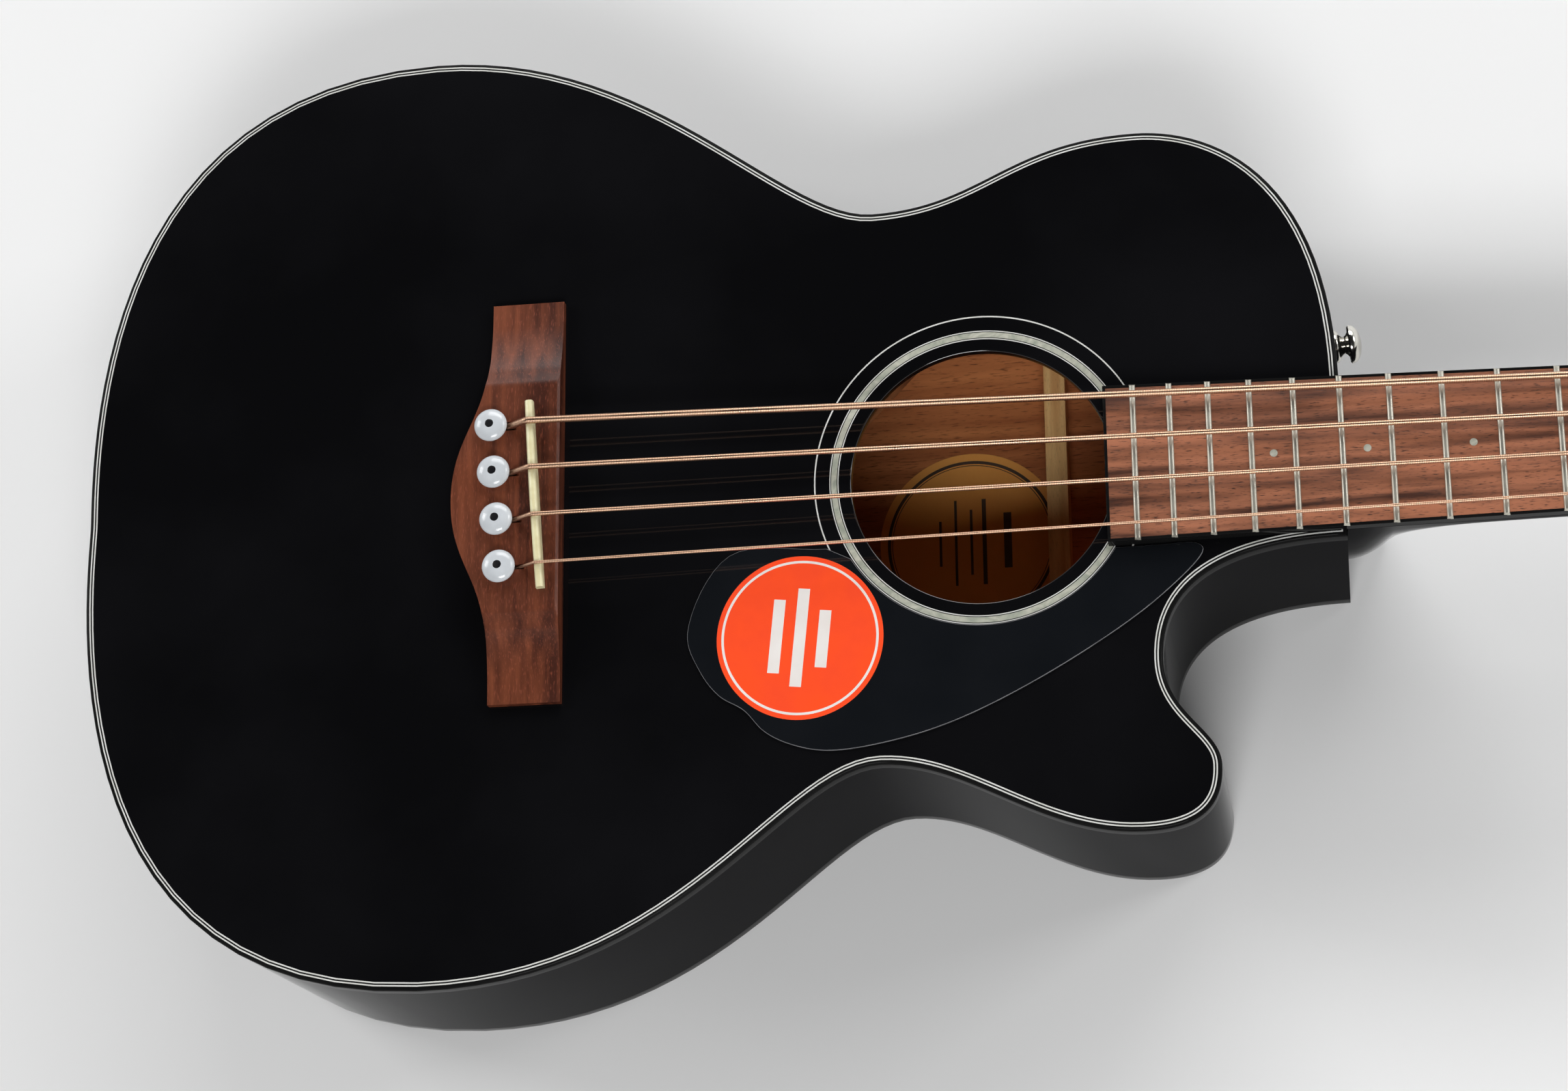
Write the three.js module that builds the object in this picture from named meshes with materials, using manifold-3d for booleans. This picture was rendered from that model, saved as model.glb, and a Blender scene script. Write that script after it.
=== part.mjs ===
// Acoustic bass guitar: cutaway body with an arched back, bolted-in neck on a 770 mm scale,
// pinned bridge and four open-gear tuners. Millimetres, +Z up.
// The guitar lies on its back: +X runs to the headstock, +Y to the bass side, +Z out of the top.
// The origin is on the flat ridge of the back, straight below the saddle line.
import * as THREE from 'three';
import { mergeVertices } from 'three/addons/utils/BufferGeometryUtils.js';
import Module from 'manifold-3d';

const wasm = await Module();
wasm.setup();

// Scale and strings, from the low string to the high one
const scaleLength = 770;
const fretCount = 22;
const jointFretCount = 17;
const fretsPerOctaveCount = 12;
const stringNames = ['e', 'a', 'd', 'g'];
const stringDiameters = [2.54, 2.03, 1.65, 1.14];
const stringSpreadAtSaddle = 53.6;
const stringSpreadAtNut = 30.8;
const crownHeightAtSaddle = 13.8;
const boardCamberRadius = 400;

// Clearances
const jointGap = 0.3;
const inlayGap = 0.15;
const runningGap = 0.25;
const overrun = 4;

// Body outline: stations along the body, setbacks from the neck joint and half widths, outer faces
const tailX = -172.6;
const lowerBoutX = -42.7;
const lowerBoutHalf = 177.2;
const waistSetback = 165.32;
const waistHalf = 103.5;
const upperBoutSetback = 68.52;
const upperBoutHalf = 127.7;
const hornBoutSetback = 74.82;
const hornBoutHalf = 131.2;
const hornTipSetback = 46.92;
const hornTipHalf = 108.9;
const cutawaySetback = 65.62;
const cutawayHalf = 70.7;
const jointBassHalf = 28;
const jointTrebleHalf = 29.8;
const wideStepCount = 6;
const tightStepCount = 4;

// How far each curve of the outline keeps its heading, as a share of its own run
const outlineShares = {
  shoulder: [0.8, 0.41],
  upperToWaist: [0.49, 0.42],
  waistToLowerBass: [0.2, 0.5],
  lowerBoutToTail: [1.1, 0.1],
  lowerTrebleToWaist: [0.58, 0.21],
  waistToHorn: [0.34, 0.4],
  hornToTip: [0.73, 0.64],
  tipToCutaway: [0.33, 0.52],
  cutawayToJoint: [0.66, 0.67],
};

// Body depth: at the rim of the lower bout, its fall toward the neck, and the arch of the back
const rimDepthAtSaddle = 96;
const depthFallSlopeShare = 0.036;
const backArch = 4;
const restFlatWidth = 36;
const archStepCount = 4;

// Plates, sides and trim
const topThickness = 3;
const backThickness = 2.8;
const sideThickness = 2.2;
const bindingWidth = 1.5;
const bindingHeight = 6;
const purflingWidth = 1.65;
const purflingDepth = 1.5;
const liningWidth = 6;
const liningHeight = 14;
const seamGap = 0.3;

// Soundhole and rosette
const soundholeSetback = 44.4;
const soundholeRadius = 47;
const pearlRingRadius = 51.6;
const pearlRingWidth = 3.3;
const thinRingRadius = 59.9;
const thinRingWidth = 0.7;
const rosetteDepth = 1;
const roundSideCount = 24;
const holeSideCount = 8;
const channelSideCount = 7;
const hexSideCount = 6;

// Blocks and braces
const neckBlockLength = 50;
const neckBlockWidth = 104;
const tailBlockLength = 18;
const tailBlockWidth = 92;
const braceWidth = 8;
const braceHeight = 14;
const braceTipHeight = 5;
const braceEndLength = 42;
const crossUpperReach = 34.9;
const crossUpperHalf = 113;
const crossLowerX = -63;
const crossLowerHalf = 153;
const toneBarHeight = 10;
const toneBarOneStart = [-52, -112];
const toneBarOneEnd = [-92, 58];
const toneBarTwoStart = [-98, -92];
const toneBarTwoEnd = [-130, 44];
const transverseBraceReach = 54.9;
const transverseBraceHalf = 92;
const transverseBraceHeight = 20;
const backBraceUpperReach = 20.4;
const backBraceWaistX = 75;
const backBraceBridgeX = -25;
const backBraceTailX = -115;
const backBraceWidth = 8;
const backBraceHeight = 12;
const backBraceTipHeight = 5;
const bridgePlateThickness = 3;
const bridgePlateFrontX = 9;
const bridgePlateBackX = -38;
const bridgePlateHalf = 62;
const bridgePlateTaper = 12;

// Bridge, saddle and pins
const bridgeFrontX = 8.5;
const bridgeBackX = -18.2;
const bridgeBellyX = -31.6;
const bridgeHalf = 76;
const bridgeBellyHalf = 55;
const bridgeScoopHalf = 42.8;
const bridgeHeight = 9;
const bridgeTipHeight = 3.2;
const bellyShare = 0.45;
const bridgeChamfer = 1.8;
const scoopShares = [[0, 0], [0.2, 0.16], [0.45, 0.45], [0.7, 0.76], [1, 1]];
const bridgeSlantDeg = 4;
const saddleThickness = 3;
const saddleLength = 71;
const saddleSeatHeight = 3;
const saddleStepCount = 5;
const saddleArchStepCount = 4;
const pinOffset = 14.6;
const pinTopRadius = 4.3;
const pinTipRadius = 3.4;
const pinLength = 27;
const pinHeadRadius = 6.1;
const pinHeadHeight = 3.6;
const pinHeadShares = [[0.82, 0], [1, 0.25], [0.8, 0.75], [0, 1]];
const pinCollarRadius = 4.9;
const pinCollarHeight = 1.2;
const pinFluteOffset = 3.3;
const pinSideCount = 10;
const ballRadius = 3.1;
const ballLength = 5;
const ballOffset = 7.3;
const ballDrop = 3.9;
const ballEntryDrop = 1.1;
const breakAngleDeg = 38;
const bendStart = 2;
const bendReach = 6.4;
const bendHandle = 2.8;
const bendStepCount = 4;

// Pickguard: inner edge round the rosette, outer edge through points
const pickguardThickness = 0.7;
const pickguardReach = 106.8;
const pickguardInnerGap = 0.35;
const pickguardArcStartDeg = 323.9;
const pickguardArcEndDeg = 210.9;
const pickguardArcCount = 16;
const pickguardOuterShares = [
  [-0.525, -0.226], [-0.857, -0.232], [-1, -0.493], [-0.958, -0.627], [-0.893, -0.714],
  [-0.811, -0.766], [-0.743, -0.841], [-0.66, -0.887], [-0.533, -0.916], [-0.313, -0.892],
  [-0.081, -0.825], [0.266, -0.656], [0.58, -0.449], [0.724, -0.299], [0.704, -0.28],
  [0.581, -0.283], [0.462, -0.287],
];
const pickguardOuterStepCount = 44;

// Fingerboard and frets
const boardEndReach = 10.58;
const boardEndHeight = 6.6;
const boardEndHalf = 28.9;
const boardNutHalf = 20.3;
const neckFallDeg = 0.83;
const boardCorner = 1.2;
const fretWidth = 2.2;
const fretTopWidth = 1.2;
const fretHeight = 0.9;
const fretSink = 0.3;
const fretEndBevel = 0.6;
const camberStepCount = 2;

// Nut
const nutThickness = 5;
const nutSlotRise = 0.35;
const nutRise = 2.4;
const nutSideMargin = 0.2;

// Neck shaft and heel
const shaftDepthAtNut = 21;
const shaftDepthAtHeel = 24;
const heelLength = 62;
const heelFootLength = 16;
const heelPowerShare = 3;
const heelCapThickness = 2.4;
const heelCapClearance = 1.2;
const heelCapCorner = 4;
const heelStationCount = 6;
const sectionDepthShares = [0, 0.2, 0.42, 0.62, 0.8, 0.93, 1];
const shaftWidthShares = [1, 0.985, 0.92, 0.8, 0.6, 0.36, 0.13];
const heelWidthShares = [1, 0.995, 0.89, 0.74, 0.6, 0.48, 0.41];
const tenonWidth = 26;
const tenonLength = 22;
const tenonDepth = 58;

// Truss rod and its nut
const trussRodRadius = 3;
const trussRodDepth = 11.6;
const trussRodStopShort = 22;
const trussNutClearance = 1.4;
const trussNutRadius = 4.6;
const trussNutLength = 13;
const trussNutBoreDepth = 7;
const trussKeyRadius = 2.4;
const trussKeyDepth = 4;
const trussAccessRadius = 6;

// Headstock
const headFallDeg = 10;
const headThickness = 15;
const headLength = 186;
const headShoulderX = 36;
const headShoulderHalf = 39;
const headEndHalf = 43;
const headCrownHeight = 8;
const headCurveShares = [0.55, 0.4];
const headCrownShares = [0.35, 0.5];
const headStepCount = 6;
const throatLength = 26;

// Tuners
const postStations = [62, 130];
const postHalf = 25;
const tunerPlateThickness = 1.2;
const tunerPlateLength = 44;
const tunerPlateWidth = 24;
const tunerPlateCorner = 4;
const gearToothCount = 20;
const gearPitchRadius = 8.6;
const gearToothHeight = 1.5;
const gearThickness = 4.6;
const toothTipShare = 0.2;
const toothRootShare = 0.6;
const wormPitchRadius = 3.6;
const wormThreadHeight = 1.3;
const wormTurnCount = 2.5;
const wormStepsPerTurnCount = 8;
const threadShares = [
  [0.61, 0], [0.5, 0], [0.39, 0], [0.28, 0], [0.19, 0.5],
  [0.1, 1], [0, 1], [-0.1, 1], [-0.19, 0.5], [-0.28, 0],
];
const meshClearance = 0.42;
const lugThickness = 2.4;
const lugHalfWidth = 3.8;
const keyShaftRadius = 2.3;
const keyShaftEnd = 1.5;
const knobLength = 22;
const knobHalfWidth = 12.5;
const knobThickness = 4.4;
const knobBevel = 1;
const knobPowerShare = 2.6;
const knobStemRadius = 3.6;
const knobStemLength = 6;
const knobEdgeGap = 5;
const knobSideCount = 12;
const postLowRadius = 4.8;
const postWaistRadius = 4.4;
const postRimRadius = 6;
const postHeight = 19;
const postRimHeight = 4.2;
const postWaistBase = 3.2;
const postFillet = 0.8;
const postScrewRadius = 3.4;
const postScrewHeight = 1.6;
const postSlotDepth = 8;
const postBoreRadius = 2.1;
const postBoreDepth = 13;
const postSideCount = 12;
const bushingFlangeRadius = 8.6;
const bushingFlangeHeight = 1.6;
const bushingWall = 1.2;
const bushingLength = 11;

// String windings on the posts
const windingTurnCounts = [1.25, 1.5, 1.75, 2];
const windingGap = 0.55;
const windingStepsPerTurnCount = 24;
const slotSideGap = 0.7;
const slotFloorGap = 0.7;
const stringSideCount = 6;
const tailBendShare = 0.35;
const tailStepCount = 4;
const tailDrop = 4;

// Strap buttons
const strapButtonShare = 0.085;
const strapButtonDrop = 20;
const endButtonDrop = 48;
const buttonBaseRadius = 6;
const buttonBaseThickness = 1.2;
const buttonWaistRadius = 3.2;
const buttonRimRadius = 6.8;
const buttonRimStart = 5.4;
const buttonRimEnd = 8.4;
const buttonHeight = 9.6;
const buttonFlatRadius = 3.4;
const buttonSideCount = 10;
const buttonScrewRadius = 1.8;
const buttonScrewLength = 14;

// Values worked out from the sizes above
const deg = Math.PI / 180;
const neckJointX = stationOfFret(jointFretCount);
const waistX = neckJointX - waistSetback;
const upperBoutX = neckJointX - upperBoutSetback;
const hornBoutX = neckJointX - hornBoutSetback;
const hornTipX = neckJointX - hornTipSetback;
const cutawayX = neckJointX - cutawaySetback;
const boardEndX = stationOfFret(fretCount) - boardEndReach;
const soundholeX = boardEndX - soundholeSetback;
const crossUpperX = soundholeX + crossUpperReach;
const transverseBraceX = soundholeX + transverseBraceReach;
const backBraceStations = [
  soundholeX + backBraceUpperReach, backBraceWaistX, backBraceBridgeX, backBraceTailX,
];
const liningOuter = sideThickness + jointGap;
const neckBlockX = neckJointX - liningOuter - neckBlockLength;
const trussNutX = neckBlockX - trussNutClearance - trussNutLength;
const depthFallAngle = Math.atan(depthFallSlopeShare);
const ridgeDepth = rimDepthAtSaddle + backArch;
const neckFall = neckFallDeg * deg;
const headFall = headFallDeg * deg;
const bridgeSlant = bridgeSlantDeg * deg;
const boardThickness = boardEndHeight - jointGap - (neckJointX - boardEndX) * Math.tan(neckFall);
const neckTop = -boardThickness - jointGap;
const boardLength = scaleLength - jointGap;
const tenonTop = -bindingHeight - 2 * jointGap;
const tenonBottom = tenonTop - tenonDepth;
const braceTop = -topThickness - jointGap;
const bridgePlateTop = braceTop;
const breakAngle = breakAngleDeg * deg;
const wormLead = 2 * Math.PI * gearPitchRadius / gearToothCount;
const gearCentreDistance = gearPitchRadius + wormPitchRadius + meshClearance;
const tunerBack = -headThickness - jointGap;
const wormTipRadius = wormPitchRadius + wormThreadHeight / 2;
const gearMiddle = tunerBack - tunerPlateThickness - wormTipRadius - jointGap;
const wormLength = wormTurnCount * wormLead;

function stationOfFret(number) {
  return scaleLength * 2 ** (-number / fretsPerOctaveCount);
}

// Closed three.js geometry to a solid and back
function solid(geometry) {
  const bare = geometry.clone();
  bare.deleteAttribute('normal');
  bare.deleteAttribute('uv');
  const merged = mergeVertices(bare.index ? bare.toNonIndexed() : bare);
  const places = merged.attributes.position.array;
  return new wasm.Manifold(new wasm.Mesh({
    numProp: 3,
    vertProperties: new Float32Array(places),
    triVerts: new Uint32Array(outwardFaces(places, merged.index.array)),
  }));
}

// Faces with three different corners, all turned the right way out
function outwardFaces(places, corners) {
  const faces = [];
  let volume = 0;
  for (let face = 0; face < corners.length; face += 3) {
    const [a, b, c] = corners.slice(face, face + 3);
    if (a !== b && b !== c && c !== a) {
      faces.push(a, b, c);
      const [first, second, third] = [a, b, c].map(
        (corner) => new THREE.Vector3().fromArray(places, 3 * corner));
      volume += first.dot(second.cross(third));
    }
  }
  return volume < 0 ? faces.reverse() : faces;
}

function geometryOf(manifold) {
  const mesh = manifold.getMesh();
  const geometry = new THREE.BufferGeometry();
  geometry.setAttribute('position', new THREE.BufferAttribute(new Float32Array(mesh.vertProperties), 3));
  geometry.setIndex(new THREE.BufferAttribute(new Uint32Array(mesh.triVerts), 1));
  const flat = geometry.toNonIndexed();
  flat.computeVertexNormals();
  return flat;
}

// Curves in the plane
function curvePoints(start, startHandle, endHandle, end, count) {
  const curve = new THREE.CubicBezierCurve(start, startHandle, endHandle, end);
  return curve.getPoints(count).slice(0, -1);
}

function point(x, y) {
  return new THREE.Vector2(x, y);
}

// One stretch of outline between two stations; each end keeps its heading along x or along y
function stretch(start, startHeading, end, endHeading, [startShare, endShare], count) {
  const run = end.clone().sub(start);
  const along = { x: point(run.x, 0), y: point(0, run.y) };
  const startHandle = start.clone().addScaledVector(along[startHeading], startShare);
  const endHandle = end.clone().addScaledVector(along[endHeading], -endShare);
  return curvePoints(start, startHandle, endHandle, end, count);
}

// Moves a counter-clockwise loop inward by a distance
function inset(loop, distance) {
  const count = loop.length;
  return loop.map((here, index) => {
    const before = loop[(index + count - 1) % count];
    const after = loop[(index + 1) % count];
    const into = here.clone().sub(before).normalize();
    const out = after.clone().sub(here).normalize();
    const bisector = point(-into.y - out.y, into.x + out.x).normalize();
    const lean = bisector.dot(point(-into.y, into.x));
    return here.clone().addScaledVector(bisector, distance / lean);
  });
}

function circle(x, y, radius, count) {
  return Array.from({ length: count }, (unused, index) => {
    const angle = index * 2 * Math.PI / count;
    return point(x + radius * Math.cos(angle), y + radius * Math.sin(angle));
  });
}

// Solids from outlines
function prism(loop, low, high) {
  const shape = new THREE.Shape(loop);
  const geometry = new THREE.ExtrudeGeometry(shape, { depth: high - low, bevelEnabled: false });
  return solid(geometry.translate(0, 0, low));
}

// An outline of (y, z) points run along x
function prismAlongX(loop, low, high) {
  const shape = new THREE.Shape(loop);
  const geometry = new THREE.ExtrudeGeometry(shape, { depth: high - low, bevelEnabled: false });
  const turn = new THREE.Matrix4().set(0, 0, 1, low, 1, 0, 0, 0, 0, 1, 0, 0, 0, 0, 0, 1);
  return solid(geometry.applyMatrix4(turn));
}

// An outline of (x, z) points run along y
function prismAlongY(loop, low, high) {
  const shape = new THREE.Shape(loop);
  const geometry = new THREE.ExtrudeGeometry(shape, { depth: high - low, bevelEnabled: false });
  return solid(geometry.rotateX(Math.PI / 2).translate(0, high, 0));
}

function block(xLow, xHigh, yLow, yHigh, zLow, zHigh) {
  const geometry = new THREE.BoxGeometry(xHigh - xLow, yHigh - yLow, zHigh - zLow);
  return solid(geometry.translate((xLow + xHigh) / 2, (yLow + yHigh) / 2, (zLow + zHigh) / 2));
}

// A profile of (radius, z) points turned about z
function turned(profile, count) {
  const outlinePoints = profile.map(([radius, height]) => point(radius, height));
  return solid(new THREE.LatheGeometry(outlinePoints, count).rotateX(Math.PI / 2));
}

function cylinder(radius, low, high, count) {
  return turned([[0, low], [radius, low], [radius, high], [0, high]], count);
}

// Rings of equal count joined into one closed skin
function loft(rings) {
  const perRing = rings[0].length;
  const positions = rings.flat().flatMap((vertex) => [vertex.x, vertex.y, vertex.z]);
  const faces = [];
  for (let ring = 0; ring < rings.length - 1; ring += 1) {
    for (let index = 0; index < perRing; index += 1) {
      const next = (index + 1) % perRing;
      const low = ring * perRing;
      const high = low + perRing;
      faces.push(low + index, low + next, high + next, low + index, high + next, high + index);
    }
  }
  const last = (rings.length - 1) * perRing;
  for (const [a, b, c] of capFaces(rings[0])) {
    faces.push(c, b, a);
  }
  for (const [a, b, c] of capFaces(rings[rings.length - 1])) {
    faces.push(last + a, last + b, last + c);
  }
  const geometry = new THREE.BufferGeometry();
  geometry.setAttribute('position', new THREE.Float32BufferAttribute(positions, 3));
  geometry.setIndex(faces);
  return solid(geometry);
}

// Triangles of a ring, found in the plane that it faces
function capFaces(ring) {
  const normal = new THREE.Vector3();
  for (let index = 0; index < ring.length; index += 1) {
    normal.add(new THREE.Vector3().crossVectors(ring[index], ring[(index + 1) % ring.length]));
  }
  normal.normalize();
  const across = new THREE.Vector3().subVectors(ring[1], ring[0]).normalize();
  const upward = new THREE.Vector3().crossVectors(normal, across);
  const flat = ring.map((vertex) => point(vertex.dot(across), vertex.dot(upward)));
  return THREE.ShapeUtils.triangulateShape(flat, []);
}

// A path through given points, with its own points as its steps
class PointPath extends THREE.Curve {
  constructor(points) {
    super();
    this.points = points;
  }

  getPoint(share) {
    const place = share * (this.points.length - 1);
    const index = Math.min(Math.floor(place), this.points.length - 2);
    return this.points[index].clone().lerp(this.points[index + 1], place - index);
  }

  getPointAt(share) {
    return this.getPoint(share);
  }

  getSpacedPoints(count) {
    return this.getPoints(count);
  }

  getTangentAt(share) {
    const index = Math.round(share * (this.points.length - 1));
    const before = this.points[Math.max(index - 1, 0)];
    const here = this.points[index];
    const after = this.points[Math.min(index + 1, this.points.length - 1)];
    const into = here.clone().sub(before).normalize();
    const out = after.clone().sub(here).normalize();
    return into.add(out).normalize();
  }
}

// A round bar along a path
function bar(points, radius, count) {
  const section = new THREE.Shape(circle(0, 0, radius, count));
  const geometry = new THREE.ExtrudeGeometry(section, {
    steps: points.length - 1,
    extrudePath: new PointPath(points),
  });
  return solid(geometry);
}

// Frames: each group's matrix carries its own frame into the frame of the group that holds it
function placed(matrix) {
  const group = new THREE.Group();
  matrix.decompose(group.position, group.quaternion, group.scale);
  return group;
}

function falling(angle, x, z) {
  const shift = new THREE.Matrix4().makeTranslation(x, 0, z);
  return shift.multiply(new THREE.Matrix4().makeRotationY(angle));
}

// Instrument frame: x from the saddle line, y from the centreline, z from the face of the top
const instrumentPlace = new THREE.Matrix4().makeRotationY(depthFallAngle)
  .premultiply(new THREE.Matrix4().makeTranslation(
    ridgeDepth * Math.sin(depthFallAngle), 0, ridgeDepth * Math.cos(depthFallAngle)));
const backPlace = instrumentPlace.clone().invert();

// Neck frame: x as in the instrument frame, z from the ridge of the fingerboard
const neckPlace = falling(neckFall, boardEndX, boardEndHeight)
  .multiply(new THREE.Matrix4().makeTranslation(-boardEndX, 0, 0));

// Head frame: x from the back of the nut, z from the face of the headstock
const headPlace = falling(headFall, scaleLength + nutThickness + jointGap, neckTop);

const bridgePlace = new THREE.Matrix4().makeRotationZ(bridgeSlant);

function moved(manifold, matrix) {
  return manifold.transform(Array.from(matrix.elements));
}

// Group tree
const guitar = new THREE.Group();
const instrument = placed(instrumentPlace);
const neckGroup = placed(neckPlace);
const headGroup = placed(headPlace);
guitar.add(instrument);
instrument.add(neckGroup);
neckGroup.add(headGroup);

const finishes = {
  blackGloss: { color: 0x0b0b0c, roughness: 0.12, metalness: 0 },
  spruce: { color: 0xd9bd8b, roughness: 0.7, metalness: 0 },
  mahogany: { color: 0x6f3f27, roughness: 0.65, metalness: 0 },
  maple: { color: 0xcfae7c, roughness: 0.6, metalness: 0 },
  rosewood: { color: 0x4a261a, roughness: 0.55, metalness: 0 },
  blackPlastic: { color: 0x101112, roughness: 0.25, metalness: 0 },
  whiteLine: { color: 0xe8e4d8, roughness: 0.4, metalness: 0 },
  pearl: { color: 0xdcdcc8, roughness: 0.3, metalness: 0 },
  bone: { color: 0xe6e2a8, roughness: 0.35, metalness: 0 },
  whitePlastic: { color: 0xe9eef2, roughness: 0.3, metalness: 0 },
  nickel: { color: 0xc9c6bd, roughness: 0.25, metalness: 1 },
  steel: { color: 0x9a9a98, roughness: 0.35, metalness: 1 },
  bronze: { color: 0xb9784c, roughness: 0.35, metalness: 1 },
  brass: { color: 0xb89a55, roughness: 0.35, metalness: 1 },
};

function addPiece(group, name, manifold, finish) {
  const mesh = new THREE.Mesh(geometryOf(manifold), new THREE.MeshStandardMaterial(finishes[finish]));
  mesh.name = name;
  group.add(mesh);
}

// Body outline, counter-clockwise from the bass side of the neck joint
function bodyOutline() {
  const jointBass = point(neckJointX, jointBassHalf);
  const upper = point(upperBoutX, upperBoutHalf);
  const waistBass = point(waistX, waistHalf);
  const lowerBass = point(lowerBoutX, lowerBoutHalf);
  const tail = point(tailX, 0);
  const lowerTreble = point(lowerBoutX, -lowerBoutHalf);
  const waistTreble = point(waistX, -waistHalf);
  const horn = point(hornBoutX, -hornBoutHalf);
  const hornTip = point(hornTipX, -hornTipHalf);
  const cutaway = point(cutawayX, -cutawayHalf);
  const jointTreble = point(neckJointX, -jointTrebleHalf);
  const fromTail = [...outlineShares.lowerBoutToTail].reverse();
  return [
    ...stretch(jointBass, 'y', upper, 'x', outlineShares.shoulder, wideStepCount),
    ...stretch(upper, 'x', waistBass, 'x', outlineShares.upperToWaist, wideStepCount),
    ...stretch(waistBass, 'x', lowerBass, 'x', outlineShares.waistToLowerBass, wideStepCount),
    ...stretch(lowerBass, 'x', tail, 'y', outlineShares.lowerBoutToTail, wideStepCount),
    ...stretch(tail, 'y', lowerTreble, 'x', fromTail, wideStepCount),
    ...stretch(lowerTreble, 'x', waistTreble, 'x', outlineShares.lowerTrebleToWaist, wideStepCount),
    ...stretch(waistTreble, 'x', horn, 'x', outlineShares.waistToHorn, wideStepCount),
    ...stretch(horn, 'x', hornTip, 'y', outlineShares.hornToTip, tightStepCount),
    ...stretch(hornTip, 'y', cutaway, 'y', outlineShares.tipToCutaway, tightStepCount),
    ...stretch(cutaway, 'y', jointTreble, 'x', outlineShares.cutawayToJoint, wideStepCount),
    jointTreble,
  ];
}

const outline = bodyOutline();
const deepest = -2 * ridgeDepth;

// Height of the back's outer face above the plane that it rests on
function archHeight(y) {
  const flatHalf = restFlatWidth / 2;
  const beyond = Math.max(Math.abs(y) - flatHalf, 0);
  return backArch * (beyond / (lowerBoutHalf - flatHalf)) ** 2;
}

// The layer between two heights above the arched back, in the instrument frame
function backLayer(low, high) {
  const flatHalf = restFlatWidth / 2;
  const reach = lowerBoutHalf + overrun;
  const stations = [];
  for (let step = 0; step <= archStepCount; step += 1) {
    stations.push(flatHalf + (reach - flatHalf) * step / archStepCount);
  }
  const across = [...stations.map((y) => -y).reverse(), ...stations];
  const lower = across.map((y) => point(y, archHeight(y) + low));
  const upper = across.map((y) => point(y, archHeight(y) + high)).reverse();
  const layer = prismAlongX([...lower, ...upper], tailX - ridgeDepth, neckJointX + ridgeDepth);
  return moved(layer, backPlace);
}

function ringPrism(outerInset, innerInset, low, high) {
  return prism(inset(outline, outerInset), low, high)
    .subtract(prism(inset(outline, innerInset), low - overrun, high + overrun));
}

function roundRing(radius, width, low, high) {
  const outer = cylinder(radius + width, low, high, roundSideCount);
  const inner = cylinder(radius, low - overrun, high + overrun, roundSideCount);
  return outer.subtract(inner).translate([soundholeX, 0, 0]);
}

// Pin and string stations on the bridge, in the slanted bridge frame
function stringShare(index) {
  return 0.5 - index / (stringNames.length - 1);
}

function saddlePoint(index) {
  const y = stringSpreadAtSaddle * stringShare(index);
  return point(-y * Math.tan(bridgeSlant), y);
}

function pinPoint(index) {
  return saddlePoint(index).add(point(-pinOffset, 0));
}

function crownHeight(y) {
  return crownHeightAtSaddle - y * y / (2 * boardCamberRadius);
}

// A hole for one pin with its string beside it
function pinHole(index, low, high) {
  const centre = pinPoint(index);
  const round = cylinder(pinTopRadius + runningGap, low, high, pinSideCount)
    .translate([centre.x, centre.y, 0]);
  const half = stringDiameters[index] / 2 + jointGap;
  const channel = block(centre.x, centre.x + pinFluteOffset + half,
    centre.y - half, centre.y + half, low, high);
  return round.add(channel);
}

function withPinHoles(manifold, low, high) {
  return stringNames.reduce((made, unused, index) => made.subtract(pinHole(index, low, high)), manifold);
}

// Half width inside a loop at a station, on one side of the centreline
function reachAt(loop, x, side) {
  let reach = 0;
  loop.forEach((start, index) => {
    const end = loop[(index + 1) % loop.length];
    if ((start.x - x) * (end.x - x) <= 0 && start.x !== end.x) {
      const y = start.y + (end.y - start.y) * (x - start.x) / (end.x - start.x);
      reach = Math.max(reach, y * side);
    }
  });
  return reach;
}

const insideLinings = inset(outline, liningOuter + liningWidth + jointGap);

function tenonSlot(xLow, xHigh) {
  const half = tenonWidth / 2 + jointGap;
  return block(xLow, xHigh, -half, half, tenonBottom - jointGap, 0);
}

function neckBlockBox(margin) {
  return block(neckBlockX - margin, neckBlockX + neckBlockLength + margin,
    -neckBlockWidth / 2 - margin, neckBlockWidth / 2 + margin, deepest, 0);
}

function trussPassage(radius, xLow, xHigh) {
  return prismAlongX(circle(0, -trussRodDepth, radius, holeSideCount), xLow, xHigh);
}

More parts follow.
